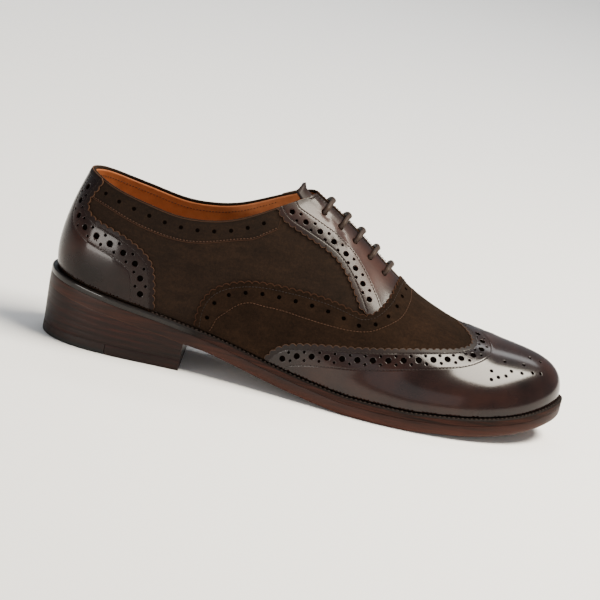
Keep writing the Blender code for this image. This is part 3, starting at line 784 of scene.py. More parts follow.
def makeCalf(name, lightScale=1.0, edged=True, gloss=0.17, shine=0.15, dull=0.0, edgeDull=0.36):
    # Clouds pick the brown on a ramp and roughen the gloss a little; pores and wrinkles are relief
    calf = Finish(name, Specular_IOR_Level=shine, Coat_Roughness=0.11, Coat_IOR=1.5)
    clouds = calf.noise(32, 3, 0.5)
    pores = calf.noise(1300, 2, 0.5)
    wrinkle = calf.noise(330, 4, 0.55)
    colour = calf.ramp(clouds, [(0.32, calfLook["burnishAndShade"]), (0.72, shaded(calfLook["glow"], lightScale)),
                                (0.50, shaded(calfLook["body"], lightScale))])
    roughness = 0.12 + dull + 0.12 * clouds + 0.03 * pores
    if edged:  # darker over the punched band and towards the cut, partly burnishing and partly painted shade where the edge turns away from the light; dull between the stitches and the cut, raw at the cut itself
        inset = calf.attribute("inset")
        colour = calf.blend(0.75 - 0.75 * calf.steps(inset, 2.0, 13.0), colour, rgb(*calfLook["burnishAndShade"]))
        colour = calf.blend(1 - calf.steps(inset, 0.04, 0.30), colour, rgb(*calfLook["raw"]))
        smooth = calf.steps(inset, 2.2, 3.2)
        roughness = roughness + edgeDull - edgeDull * smooth
        calf.feed(Coat_Weight=0.02 + gloss * smooth)
    calf.feed(Base_Color=colour, Roughness=roughness)
    calf.bump(0.2 * pores + 0.9 * wrinkle, 0.05, 0.2)
    return calf.material


def makePlain(name, dark, light, roughness, scale, stretch=(1, 1, 1), coat=0.0, strength=0.2, depth=0.2):
    # Two shades mixed by a stretched noise, with the same noise as relief
    plain = Finish(name, Specular_IOR_Level=0.18, Coat_Weight=coat, Coat_Roughness=0.2)
    fibre = plain.noise(scale, 5, 0.6, stretch)
    broad = plain.noise(scale * 0.12, 3, 0.5, stretch)
    plain.feed(Base_Color=plain.ramp((0.6 * fibre + 0.5 * broad).limited(), [(0.30, dark), (0.78, light)]),
               Roughness=roughness - 0.12 + 0.24 * fibre)
    plain.bump(fibre, strength, depth)
    return plain.material


# Sole edge: level streaks, dark above and redder towards the tread; the underside is plain brown
soleLook = {"dark": (0.0064, 0.0034, 0.0027), "light": (0.042, 0.0124, 0.0074), "under": (0.070, 0.036, 0.019)}
soleStops = [(0.30, soleLook["dark"]), (0.74, soleLook["light"])]


def makeSole(name):
    # Attribute rise: -1 on the underside, then 0 at the tread to 1 at the top of the edge
    sole = Finish(name, Specular_IOR_Level=0.11, Coat_Weight=0.02, Coat_Roughness=0.25)
    rise = sole.attribute("rise")
    fibre = sole.noise(150, 5, 0.65, (0.25, 0.25, 5.0))
    broad = sole.noise(12, 3, 0.5, (0.6, 0.6, 4.0))
    edge = sole.ramp((0.6 * fibre + 0.5 * broad + 0.08 - 0.26 * rise).limited(), soleStops)
    colour = sole.blend(sole.steps(rise, -0.9, -0.1), rgb(*soleLook["under"]), edge)
    sole.feed(Base_Color=colour, Roughness=0.36 + 0.24 * fibre)
    sole.bump(fibre, 0.2, 0.2)
    return sole.material


def makeWelt(name):
    # Attribute sideEdge: 0 round the heel seat (waxed), 0.5 on top ahead of it (dull), 1 on the side, dressed as
    # the sole's edge
    welt = Finish(name, Specular_IOR_Level=0.09, Coat_Roughness=0.09)
    where = welt.attribute("sideEdge")
    fibre = welt.noise(90, 5, 0.6, (0.25, 0.25, 5.0))
    speck = welt.noise(420, 4, 0.6)
    ahead = welt.steps(where, 0.0, 0.5)
    top = welt.ramp(speck, [(0.3, (0.0028, 0.0020, 0.0018)), (0.75, (0.0070, 0.0044, 0.0036))])
    side = welt.ramp(0.85 * fibre, soleStops)
    welt.feed(Base_Color=welt.blend(welt.steps(where, 0.55, 1.0), top, side),
              Roughness=0.26 + 0.20 * speck + 0.30 * ahead, Coat_Weight=0.30 - 0.30 * ahead)
    welt.bump(0.6 * fibre + 0.4 * speck, 0.15, 0.2)
    return welt.material


heelLook = {"dark": (0.0036, 0.0019, 0.0016), "red": (0.034, 0.0074, 0.0046), "brown": (0.0092, 0.0034, 0.0026)}


def makeHeel(name):
    # Stacked lifts: dark and red streaks that lie level, darker towards the back as painted shade, and a fine
    # grain along them
    heel = Finish(name, Specular_IOR_Level=0.11, Coat_Weight=0.04, Coat_Roughness=0.25)
    streak = heel.noise(60, 5, 0.65, (0.5, 0.5, 9.0))
    broad = heel.noise(14, 3, 0.5, (1, 1, 3.0))
    fine = heel.noise(420, 3, 0.6, (0.3, 0.3, 2.5))
    colour = heel.ramp((0.55 * streak + 0.35 * broad + 0.15 * fine).limited(),
                       [(0.36, heelLook["dark"]), (0.72, heelLook["red"]), (0.52, heelLook["brown"])])
    along = heel.add("ShaderNodeSeparateXYZ", {}, {"Vector": heel.place}, "X")
    # Painted shade: the back of the heel is darkened where less light falls
    colour = heel.blend(0.55 - 0.55 * heel.steps(along, -0.150, -0.105), colour, rgb(*heelLook["dark"]))
    heel.feed(Base_Color=colour, Roughness=0.34 + 0.25 * fine)
    heel.bump(0.5 * streak + 0.5 * fine, 0.12, 0.2)
    return heel.material


def makeRubber(name):
    # Black at the tread; above it the side carries the heel's edge dressing
    rubber = Finish(name, Specular_IOR_Level=0.16)
    height = rubber.add("ShaderNodeSeparateXYZ", {}, {"Vector": rubber.place}, "Z")
    speck = rubber.noise(500, 3, 0.6)
    dressed = rubber.ramp(speck, [(0.3, (0.0048, 0.0024, 0.0020)), (0.75, (0.0120, 0.0046, 0.0034))])
    black = rubber.ramp(speck, [(0.3, (0.0030, 0.0030, 0.0030)), (0.75, (0.0075, 0.0072, 0.0070))])
    rubber.feed(Base_Color=rubber.blend(rubber.steps(height + 0.0006 * speck, 0.0021, 0.0032), black, dressed),
                Roughness=0.45 + 0.3 * speck)
    rubber.bump(speck, 0.15, 0.2)
    return rubber.material


suedeFinish = makeSuede("brown suede")
vampFinish = makeSuede("brown suede vamp", 1.1, True, sheen=0.025, shine=0.06)
collarFinish = makeSuede("brown suede collar", 0.8, True)
calfFinish = makeCalf("burnished calf")
# The facing's calf is 2.2 times lighter: partly a lighter calf, partly painted reflection on the lace panel
facingFinish = makeCalf("burnished calf facing", 2.2, gloss=0.07, shine=0.14, dull=0.12, edgeDull=0.04)
counterFinish = makeCalf("burnished calf counter", gloss=0.12, shine=0.08, dull=0.08)
tongueFinish = makeCalf("burnished calf tongue", edged=False, dull=0.32)
liningFinish = makePlain("tan lining leather", (0.222, 0.064, 0.0205), (0.360, 0.121, 0.041), 0.55, 180, coat=0.05,
                         strength=0.08)
soleFinish = makeSole("sole leather")
weltFinish = makeWelt("dark welt leather")
heelFinish = makeHeel("stacked heel leather")
rubberFinish = makeRubber("black rubber")
threadFinish = makePlain("dark brown thread", (0.0050, 0.0030, 0.0024), (0.0120, 0.0066, 0.0050), 0.6, 2500)
tanThreadFinish = makePlain("russet thread", (0.024, 0.0100, 0.0046), (0.056, 0.0235, 0.0106), 0.6, 2500)
weltThreadFinish = makePlain("brown welt thread", (0.0085, 0.0050, 0.0039), (0.020, 0.0112, 0.0084), 0.7, 2500)
# Painted shade: a flat dark finish under every hole, in place of the shade inside it
holeShadeFinish = Finish("painted hole shade", Roughness=1.0, Specular_IOR_Level=0.0,
                     Base_Color=rgb(0.0018, 0.0012, 0.0009)).material
cordFinish = makePlain("waxed lace", (0.0125, 0.0076, 0.0055), (0.0360, 0.0218, 0.0155), 0.6, 1400, (1, 0.35, 1),
                       coat=0.03, strength=0.5, depth=0.4)
print("finishes ready")


# Panel lines on the outer side, from the sole up
wingEdge = [(4.22, 0.00), (4.30, 0.07), (4.47, 0.14), (4.83, 0.21), (5.40, 0.30), (5.88, 0.385),
            (6.44, 0.51), (6.80, 0.605), (6.99, 0.70), (7.02, 0.80), (6.92, 0.92), (6.75, 1.00)]
vampEdge = [(3.21, 0.00), (3.20, 0.09), (3.26, 0.17), (3.45, 0.24), (3.82, 0.31), (4.21, 0.365), (4.77, 0.43),
            (5.28, 0.47)]
throatEdge = [(5.36, 0.475), (5.46, 0.50), (5.57, 0.55), (5.67, 0.64), (5.73, 0.75), (5.77, 0.90), (5.79, 1.00)]
facingEdge = [(3.86, 0.68), (4.06, 0.635), (4.32, 0.645), (4.68, 0.66), (4.92, 0.65), (5.12, 0.605), (5.28, 0.55),
              (5.36, 0.515)]
counterEdge = [(2.62, 0.00), (2.57, 0.11), (2.49, 0.20), (2.30, 0.25), (1.95, 0.28), (1.49, 0.293), (1.10, 0.315),
               (0.98, 0.36), (1.11, 0.41), (1.14, 0.46)]
collarLine = [(0.95, 0.365), (1.52, 0.36), (1.86, 0.35), (2.11, 0.34), (2.51, 0.33), (2.87, 0.34), (3.22, 0.38),
              (3.59, 0.44), (3.77, 0.48), (3.94, 0.54), (4.10, 0.60)]
overlayStart = 0.012  # lowest point of an overlay, as a share up the rib
edgeMargin = 0.004  # how far an overlay's edge stays under the collar or the slit, as a share of the rib
sides = ((1, "Lateral", lambda line: line), (-1, "Medial", innerSide))


def alongSole(first, final, step=0.05):
    # Equal steps of rib at the overlays' lowest point
    ribs = np.linspace(first, final, max(2, int(abs(final - first) / step)))
    return np.stack([ribs, np.full(len(ribs), overlayStart)], axis=1)


def fromSole(line):
    # The part of a line above the overlays' lowest point
    return line[line[:, 1] >= overlayStart]


def alongTop(first, final, margin=0.002, step=0.03):
    # Just under the collar or the slit, by a margin in share of the rib
    ribs = np.linspace(first, final, max(2, int(abs(final - first) / step)))
    return np.stack([ribs, ribTop(ribs % wholeTurn) - margin], axis=1)


def underTop(edge, mirror):
    # Which points of a line lie under the collar or the slit
    return edge[:, 1] < ribTop(mirror(edge)[:, 0]) - edgeMargin


def sewBeside(edge, distances, high, side):
    # Dark stitch lines at distances from an edge, square to it
    return [stitchLine(offsetLine(edge, d, side), high, fineStitch, "dark") for d in distances]


gimp = {"pitch": 4.2, "depth": 1.6}  # teeth of a pinked edge (mm)
fineStitch = {"pitch": 2.0, "length": 1.7, "width": 0.42, "lift": -0.05}
suedeStitch = {"pitch": 1.9, "length": 1.6, "width": 0.46, "lift": 0.0}

# Quarters: the whole upper as one sheet, with a wall inwards; the lining lies inside it
quarters = {"wall": 1.15, "lining": 0.75, "liningGap": 0.05, "liningDrop": 0.010, "ribStep": 0.05, "rows": 44,
            "crowding": 1.2, "insideRun": (-3.9, 3.9), "insideDrop": 0.034, "insideStep": 0.01}


def upperSheet(out, drop):
    # Ribs all round, each from the feather line to the collar, rows closer towards the ridge
    ribs = np.arange(0, wholeTurn, quarters["ribStep"])
    share = 1 - np.linspace(1, 0, quarters["rows"]) ** quarters["crowding"]
    top = ribTop(ribs)
    top = np.where(top > topLimit, top, top - drop)
    faces = gridFaces(len(ribs), len(share), closedColumns=True)
    return shoePoint(ribs[:, None], top[:, None] * share, out), faces


suedeQuarters = smoothPiece("suedeQuarters", *upperSheet(0.0, 0.0), suedeFinish, "suede", ["upper"])
thicken(suedeQuarters, quarters["wall"])
liningSheet = upperSheet(-quarters["wall"] - quarters["liningGap"], quarters["liningDrop"])
tanLining = smoothPiece("tanLining", *liningSheet, liningFinish, "lining_leather")
thicken(tanLining, quarters["lining"])

# Collar band: a thin suede strip under the collar with one row of holes and a russet stitch line
collarBand = {
    "thickness": 0.24, "low": 0.03, "soft": 0.05, "front": 4.02, "back": 1.02, "stitch": 1.0,
    "holeRun": (1.25, 3.82), "holeMiddle": 6.2, "pitch": 9.0, "hole": 1.2, "holeShade": (4.4, 8.0), "sink": 0.02,
}
# Painted shade: the dark strips stand in for the shade inside the holes
holeShade = []  # dark strips behind the holes: points and faces
strip = {"lines": 5, "lift": 0.03}


def keepHoleShade(place, columns, rows, out, side):
    # A grid of points over the upper, its faces turned out on both sides of the shoe: a sheet of painted shade
    # under the holes
    holeShade.append((onShoe(place, out), gridFaces(columns, rows)[:, :: -1 if side < 0 else 1]))


def addHoleShade(line, reach, out, side):
    # A ribbon of painted shade under the holes: lines between two distances in from an edge, just over a height
    rows = [overRidge(offsetLine(line, -d, side)) for d in np.linspace(*reach, strip["lines"])]
    flat = np.clip(np.stack(rows, axis=1), (-np.inf, overlayStart), (np.inf, 1)).reshape(-1, 2)
    height = out(flat) if callable(out) else np.full(len(flat), out)
    keepHoleShade(flat, len(line), strip["lines"], height + strip["lift"], side)


for side, label, mirror in sides:
    lower = smoothLine(collarLine)
    lower = mirror(lower[lower[:, 0] < collarBand["front"]])
    outline = np.concatenate([lower, mirror(alongTop(collarBand["front"], collarBand["back"], edgeMargin))])
    topline = mirror(alongTop(*collarBand["holeRun"], 0.0))
    holes = punchRow(offsetLine(topline, -collarBand["holeMiddle"], side), collarBand["pitch"], collarBand["hole"])
    cutPanel("collarBand" + label, outline, holes, collarBand["low"], collarBand["thickness"], collarFinish,
             soft=collarBand["soft"])
    high = collarBand["low"] + collarBand["thickness"]
    stitchLine(offsetLine(lower, collarBand["stitch"], side), high, suedeStitch, "tan")
    addHoleShade(topline[::2], collarBand["holeShade"], collarBand["low"] - collarBand["sink"], side)
inside = alongTop(*quarters["insideRun"], quarters["insideDrop"], quarters["insideStep"])  # seam on the lining
insidePoints = onShoe(inside, -quarters["wall"] - quarters["lining"] - quarters["liningGap"])
stitchRuns["tan"].append(stitchesAlong(insidePoints, -normalsAt(inside), suedeStitch))
print("quarters, lining and collar bands ready")

# Facings: polished leather from the collar to the throat, with a punched band and lace holes
facing = {
    "low": 0.3, "thickness": 0.9, "stitches": (1.9, 11.0), "slitStitch": 2.0,
    "press": {"tilt": 0.20, "reach": 7.0, "start": 11.0},
    "band": {"middle": -5.6, "pitch": 9.0, "big": 1.6, "small": 0.8, "pair": 2.3, "lowest": 0.55, "highest": 0.9},
    "laceRibs": (4.55, 4.80, 5.03, 5.28, 5.53), "laceUp": 0.845, "laceHole": 1.85, "laceRun": (4.4, 5.65),
    "topStart": 5.74, "slitRun": (5.6, 4.3), "holeShade": (-2.2, -9.6), "laceHoleShade": (-2.2, 2.2), "sink": 0.25,
}
underThroat = [(5.42, 0.505), (5.52, 0.525), (5.64, 0.58), (5.74, 0.66), (5.80, 0.76), (5.83, 0.88), (5.84, 0.96)]
for side, label, mirror in sides:
    edge = mirror(smoothLine(facingEdge))
    below = underTop(edge, mirror)
    free = edge[below]
    topRun = mirror(alongTop(facing["topStart"], mirror(free)[0, 0]))
    outline = np.concatenate([gimped(edge, -side)[below], mirror(smoothLine(underThroat)), topRun])
    holes = punchBand(free, facing["band"], side)
    holes += [(*mirror(np.array([[r, facing["laceUp"]]]))[0], facing["laceHole"]) for r in facing["laceRibs"]]
    high = facing["low"] + facing["thickness"]
    seams = sewBeside(free, facing["stitches"], high, side)
    seams += sewBeside(mirror(alongTop(*facing["slitRun"], 0.0)), [facing["slitStitch"]], high, side)
    cutPanel("facing" + label + "Calf", outline, holes, facing["low"], facing["thickness"], facingFinish,
             ["facing_" + label.lower()], seams, {"lines": [edge], **facing["press"]})
    # Painted shade under the band's holes and under the lace holes
    under = facing["low"] - facing["sink"]
    addHoleShade(free[::3], facing["holeShade"], under, side)
    laceLine = np.stack([np.linspace(*facing["laceRun"], 40), np.full(40, facing["laceUp"])], axis=1)
    addHoleShade(mirror(laceLine), facing["laceHoleShade"], under, side)
print("facings ready")

# Vamp: suede from the sole over the foot, lapped over the facings' lower ends
vamp = {
    "low": 0.3, "thickness": 0.9, "lap": 0.75, "lapReach": 6.0, "firstStitch": 1.8, "holeShade": (3.0, 9.0),
    "band": {"middle": 5.4, "pitch": 9.4, "big": 1.25, "small": 0, "pair": 0, "lowest": 0.04, "highest": 0.97},
    "stitch": [(3.39, 0.02), (3.42, 0.05), (3.46, 0.10), (3.55, 0.14), (3.70, 0.20), (3.88, 0.24), (4.08, 0.26),
               (4.36, 0.29), (4.75, 0.32), (5.14, 0.36), (5.34, 0.39), (5.53, 0.43), (5.71, 0.50), (5.88, 0.60),
               (5.96, 0.70), (5.99, 0.82), (5.98, 0.92), (5.97, 1.00)],
}
underWing = [(4.45, 0.012), (4.60, 0.07), (4.90, 0.13), (5.45, 0.22), (5.95, 0.30), (6.55, 0.42), (6.95, 0.52),
             (7.20, 0.62), (7.30, 0.75), (7.20, 0.90), (7.02, 1.00)]
throatPoints = np.concatenate([onLast(mirror(smoothLine(throatEdge))) for side, label, mirror in sides])


def vampLow(line):
    # Rises by the lap within a short reach of the throat
    near = np.clip(1 - nearest(onLast(line), throatPoints)[0] / vamp["lapReach"], 0, 1)
    return vamp["low"] + vamp["lap"] * near * near * (3 - 2 * near)


def vampHigh(line):
    # The vamp's underside plus its thickness
    return vampLow(line) + vamp["thickness"]


halves, holes, seams = [], [], []
for side, label, mirror in sides:
    edge = mirror(fromSole(smoothLine(vampEdge + throatEdge)))
    halves.append((gimped(edge, side), mirror(fromSole(smoothLine(underWing, 1.5)))))
    holes += punchBand(edge, vamp["band"], side)
    seams.append(stitchLine(offsetLine(edge, -vamp["firstStitch"], side), vampHigh, suedeStitch, "dark"))
    seams.append(stitchLine(mirror(smoothLine(vamp["stitch"])), vampHigh, suedeStitch, "tan"))
    addHoleShade(edge[::3], vamp["holeShade"], vampLow, side)
(backOuter, frontOuter), (backInner, frontInner) = halves
outline = np.concatenate([
    backOuter, backInner[::-1], alongSole(backInner[0, 0], frontInner[0, 0])[1:-1], frontInner[:-1],
    frontOuter[::-1], alongSole(frontOuter[0, 0], backOuter[0, 0])[1:-1],
])
cutPanel("vampSuede", outline, holes, vampLow, vamp["thickness"], vampFinish, ["vamp"], seams)
print("vamp ready")

# Wing cap: polished toe with its two wings, punched along the edge, and a medallion of holes on the toe
wing = {
    "low": 1.25, "thickness": 0.8, "stitches": (-1.6, -11.6), "press": {"tilt": 0.12, "reach": 6.0, "start": 11.6},
    "holeShade": (2.2, 10.2), "sink": 0.02, "patchRibs": (7.1, 8.8), "patchUps": (0.33, 0.76), "patchSink": 0.05,
    "band": {"middle": 5.8, "pitch": 8.4, "big": 1.75, "small": 0.8, "pair": 2.4, "lowest": 0.03, "highest": 0.96},
    "medallion": [(7.31, 0.47), (7.66, 0.49), (7.86, 0.47), (8.10, 0.47), (8.29, 0.45), (7.31, 0.38), (7.42, 0.41),
                  (7.55, 0.43), (7.57, 0.60), (7.97, 0.58), (8.56, 0.62), (8.30, 0.70)],
    "medallionHole": 0.9,
}
halves, holes, seams, edges = [], [], [], []
# Painted shade behind the medallion's holes
ribs, ups = np.linspace(*wing["patchRibs"], 40), np.linspace(*wing["patchUps"], 30)
patch = np.stack(np.meshgrid(ribs, ups, indexing="ij"), axis=-1).reshape(-1, 2)  # behind the medallion
for side, label, mirror in sides:
    edge = mirror(fromSole(smoothLine(wingEdge)))
    edges.append(edge)
    halves.append(gimped(edge, side))
    holes += punchBand(edge, wing["band"], side)
    holes += [(*mirror(np.array([place]))[0], wing["medallionHole"]) for place in wing["medallion"]]
    seams += sewBeside(edge, wing["stitches"], wing["low"] + wing["thickness"], side)
    addHoleShade(edge[::3], wing["holeShade"], wing["low"] - wing["sink"], side)
    keepHoleShade(mirror(patch), len(ribs), len(ups), wing["low"] - wing["patchSink"], side)
backOuter, backInner = halves
outline = np.concatenate([backOuter, backInner[::-1], alongSole(backInner[0, 0], backOuter[0, 0])[1:-1]])
cutPanel("wingCapCalf", outline, holes, wing["low"], wing["thickness"], calfFinish,
         ["wing_cap"], seams, {"lines": edges, **wing["press"]})
print("wing cap ready")

# Heel counter with the strip that runs up the back
counter = {
    "low": 0.3, "thickness": 0.9, "stitches": (1.8, 12.8), "press": {"tilt": -0.05, "reach": 8.0, "start": 12.8},
    "band": {"middle": -7.0, "pitch": 8.6, "big": 1.8, "small": 0.8, "pair": 3.0, "lowest": 0.03, "highest": 0.42},
    "holeShade": (-3.2, -11.4), "sink": 0.25,
}
halves, holes, seams, edges = [], [], [], []
for side, label, mirror in sides:
    edge = mirror(fromSole(smoothLine(counterEdge)))
    edge = edge[underTop(edge, mirror)]
    edges.append(edge)
    halves.append(gimped(edge, -side))
    holes += punchBand(edge, counter["band"], side)
    seams += sewBeside(edge, counter["stitches"], counter["low"] + counter["thickness"], side)
    addHoleShade(edge[::3], counter["holeShade"], counter["low"] - counter["sink"], side)
backOuter, backInner = halves
backInner = backInner - (wholeTurn, 0)
outline = np.concatenate([
    backOuter, alongTop(backOuter[-1, 0], backInner[-1, 0])[1:-1], backInner[::-1],
    alongSole(backInner[0, 0], backOuter[0, 0])[1:-1],
])
cutPanel("heelCounterCalf", outline, holes, counter["low"], counter["thickness"], counterFinish,
         ["heel_counter"], seams, {"lines": edges, **counter["press"]})
print("counter ready")

# Painted shade: a dark sheet behind the holes, where only shade would show
strips, grids = zip(*holeShade)
starts = np.cumsum([0] + [len(points) for points in strips])
faces = np.concatenate([grid + start for grid, start in zip(grids, starts)])
mesh = newMesh("paintedHoleShade", np.concatenate(strips), faces)
mesh.shade_smooth()
newPiece("paintedHoleShade", mesh, holeShadeFinish)

# Tongue: rows give its half width at a rib; its free tip moves forward and up, the outer corner sweeps back
tongue = {
    "rows": [(4.22, 12.2), (4.27, 14.0), (4.36, 18.0), (4.55, 20.5), (5.00, 20.0), (5.50, 18.0), (6.10, 14.0)],
    "ends": (4.22, 6.0), "out": -2.95, "thickness": 1.9, "gauge": 0.7,
    "freeRib": 4.29, "tip": (1.8, 1.5), "sweep": 4.4,
}
tongueTable = splineThrough([row[0] for row in tongue["rows"]], [row[1:] for row in tongue["rows"]])
ribs = np.linspace(*tongue["ends"], 60)
across = np.linspace(-1, 1, 41)
reach = np.linalg.norm(ribPoint(ribs, 1.0) - ribPoint(ribs, tongue["gauge"]), axis=-1) / (1 - tongue["gauge"])
ups = 1 - abs(across) * (tongueTable(ribs)[:, 0] / reach)[:, None]
ribGrid = np.where(across <= 0, ribs[:, None], wholeTurn - ribs[:, None])
tonguePoints = shoePoint(ribGrid, ups, tongue["out"])
free = np.clip((tongue["freeRib"] - ribs) / (tongue["freeRib"] - ribs[0]), 0, 1)[:, None]
tonguePoints[..., 0] += free * (tongue["tip"][0] - tongue["sweep"] * np.minimum(across, 0) ** 2)
tonguePoints[..., 2] += free * tongue["tip"][1]
tonguePiece = smoothPiece("tongueCalf", tonguePoints, gridFaces(len(ribs), len(across)), tongueFinish,
                          "polished_leather", ["tongue"])
thicken(tonguePiece, tongue["thickness"])

# Laces: five straight bars that dip into the lace holes at both ends
lace = {"radius": 1.42, "rise": 1.75, "sink": -1.2, "slant": 0.05, "dipStart": 0.80, "dipSpan": 0.20, "hole": 0.93,
        "around": 16}


def tubeAlong(path, radius, around):
    # A circle carried along the path, square to it, with closed ends
    along = unit(np.gradient(path, axis=0))
    side = unit(np.cross(along, (1.0, 0.0, 0.3)))
    upward = np.cross(side, along)
    angle = np.linspace(0, 2 * math.pi, around, endpoint=False)
    ring = np.cos(angle)[:, None, None] * side + np.sin(angle)[:, None, None] * upward
    tube = path + radius * ring
    points = np.concatenate([tube.transpose(1, 0, 2).reshape(-1, 3), path[:1], path[-1:]])
    faces = gridFaces(len(path), around, closedRows=True).tolist()
    first = np.arange(around)
    following = (first + 1) % around
    count = len(path) * around
    final = count - around
    faces += np.stack([first, following, np.full(around, count)], axis=1).tolist()
    faces += np.stack([final + following, final + first, np.full(around, count + 1)], axis=1).tolist()
    return points, faces


across = np.linspace(-1, 1, 61)
reach = abs(across)
lift = 1 - np.clip((reach - lace["dipStart"]) / lace["dipSpan"], 0, 1) ** 2
out = lace["sink"] + (facing["low"] + facing["thickness"] + lace["rise"] - lace["sink"]) * lift
ups = 1 - np.minimum(reach / lace["hole"], 1) * (1 - facing["laceUp"])
for number, laceRib in enumerate(facing["laceRibs"], 1):
    leaning = laceRib + lace["slant"] * (1 - reach)
    rib = np.where(across <= 0, leaning, wholeTurn - leaning)
    points, faces = tubeAlong(shoePoint(rib, ups, out), lace["radius"], lace["around"])
    smoothPiece(f"laceCord{number}", points, faces, cordFinish, "lace_cord", [f"lace_bar_{number}"])
print("tongue and laces ready")


# Bottom of the shoe: closed rings of the sole's outline

def ringSolid(rings):
    # Rings from the middle of the underside round the edge to the middle of the top
    points = np.stack(rings, axis=1)
    return points, gridFaces(points.shape[0], points.shape[1], closedColumns=True)


def withHeight(plan, height):
    # Plan points with a height added as Z
    return np.concatenate([plan, np.broadcast_to(height, len(plan))[:, None]], axis=1)


soleRibs = np.arange(0, wholeTurn, 0.04)
opposite = (wholeTurn - soleRibs) % wholeTurn


def towardsSpine(outline, inset, share):
    # Between the line midway across the shoe (share 0) and an outline less an inset (share 1)
    edge = outline(soleRibs, inset)
    spine = (edge + outline(opposite, inset)) / 2
    return spine + (edge - spine) * share


def softStep(value, low, high):
    # 0 below low and 1 above high, with a smooth bend between
    share = np.clip((value - low) / (high - low), 0, 1)
    return share * share * (3 - 2 * share)


def soleRings(profile, inner, base):
    # Profile rows are inset and height over the base; the first and last rows run on to the middle. The lower
    # edge is rounded only ahead of the heel, which stands flush under it.
    free = softStep(soleOutline(soleRibs)[:, 0], heel["length"], heel["length"] + outsole["roundRun"])
    plans = [(towardsSpine(soleOutline, profile[0][0] * free, share), profile[0][1]) for share in inner]
    plans += [(soleOutline(soleRibs, inset * (free if height < outsole["roundTop"] else 1.0)), height)
              for inset, height in profile]
    plans += [(towardsSpine(soleOutline, profile[-1][0], share), profile[-1][1]) for share in inner[::-1]]
    return [withHeight(plan, base(plan[:, 0]) + height) for plan, height in plans]


heel = {
    "length": 84.0, "topLift": 6.0, "rubber": 40.0, "inset": 1.2, "lifts": 5, "joint": 0.12, "sharp": 14,
    "liftEdge": [(1.9, 0), (1.4, 0.06), (1.2, 0.2), (1.2, 0.6), (1.2, 0.97), (1.3, 1)],
    "liftRise": 0.25, "seatGap": 0.02,
}
outsole = {
    "edge": [(2.6, 0.0), (1.5, 0.18), (0.7, 0.7), (0.2, 1.6), (0.0, 2.8), (0.0, 4.8), (0.0, 6.5), (0.08, 6.8),
             (0.4, 6.86)],
    "inner": (0.0, 0.35, 0.7, 0.93), "roundTop": 2.0, "roundRun": 12.0, "shade": 0.95, "shadeRun": 30.0,
}
points, faces = ringSolid(soleRings(outsole["edge"], outsole["inner"], underside))
mesh = newMesh("outsoleLeather", points, faces)
below, above = [-1.0] * (len(outsole["inner"]) + 1), [1.0] * len(outsole["inner"])
rise = np.array(below + [height / outsole["edge"][-1][1] for inset, height in outsole["edge"][1:]] + above)
ahead = softStep(points[:, :, 0], heel["length"], heel["length"] + outsole["shadeRun"])
overHeel = outsole["shade"] - outsole["shade"] * ahead
paint(mesh, "rise", np.where(rise < 0, rise, np.maximum(rise, overHeel)))
newPiece("outsoleLeather", weldSmooth(mesh, 50), soleFinish, ["outsole"])

welt = {
    "edge": [(12.0, 0.0), (0.3, 0.0), (0.06, 0.08), (0.0, 0.4), (0.0, 2.8), (0.15, 3.3), (0.5, 3.6), (1.2, 3.7),
             (12.0, 3.7)],
    "sideRows": 5, "fadeBefore": 10, "fadeAfter": 20, "stitchInset": 1.3, "stitchRib": 2.6,
    "stitch": {"pitch": 2.7, "length": 2.1, "width": 0.95, "lift": 0.12},
}
weltBase = last["outsole"] + last["gap"]
plans = [(soleOutline(soleRibs, inset), height) for inset, height in welt["edge"]]
points = np.stack([withHeight(plan, underside(plan[:, 0]) + weltBase + height) for plan, height in plans], axis=1)
mesh = newMesh("weltStrip", points, gridFaces(len(soleRibs), len(plans), True, True))
row = np.arange(len(plans))
onSide = np.where((row > 0) & (row < welt["sideRows"]), 1.0, 0.5)
fade = softStep(points[:, :, 0], heel["length"] - welt["fadeBefore"], heel["length"] + welt["fadeAfter"])
paint(mesh, "sideEdge", onSide * fade)
newPiece("weltStrip", weldSmooth(mesh, 50), weltFinish, ["welt"])
weltRibs = np.linspace(welt["stitchRib"], wholeTurn - welt["stitchRib"], 1400)
plan = soleOutline(weltRibs, welt["stitchInset"])
weltPoints = withHeight(plan, underside(plan[:, 0]) + weltBase + last["welt"])
stitchRuns["welt"].append(stitchesAlong(weltPoints, np.tile((0.0, 0.0, 1.0), (len(plan), 1)), welt["stitch"]))

flatRibs = np.linspace(0, 4, 400)
cuts = (heel["length"], heel["rubber"], heel["rubber"] + last["gap"])
breastRib, rubberRib, liftRib = np.interp(cuts, soleOutline(flatRibs)[:, 0], flatRibs)


def heelLoop(first, final, inset):
    # Outer side from final back to first, round the heel if first is 0, then the cut lines straight across
    run = np.linspace(final, first, 90)
    outer = soleOutline(run, inset)
    inner = soleOutline((wholeTurn - run[::-1]) % wholeTurn, inset)
    between = np.linspace(0, 1, 30)[1:-1, None]
    back = [outer[-1] + (inner[0] - outer[-1]) * between, inner] if first > 0 else [inner[1:]]
    return np.concatenate([outer, *back, inner[-1] + (outer[0] - inner[-1]) * between])


def stackRings(first, final, profile, low, high):
    # Profile rows are inset and share of the height; both ends close on the middle
    rows = [(*profile[0], share) for share in (0.0, 0.5)] + [(*row, 1.0) for row in profile]
    rows += [(*profile[-1], share) for share in (0.5, 0.0)]
    rings = []
    for inset, share, spread in rows:
        loop = heelLoop(first, final, inset)
        middle = loop.mean(axis=0)
        plan = middle + (loop - middle) * spread if spread < 1 else loop
        rings.append(withHeight(plan, low(plan[:, 0]) * (1 - share) + high(plan[:, 0]) * share))
    return rings


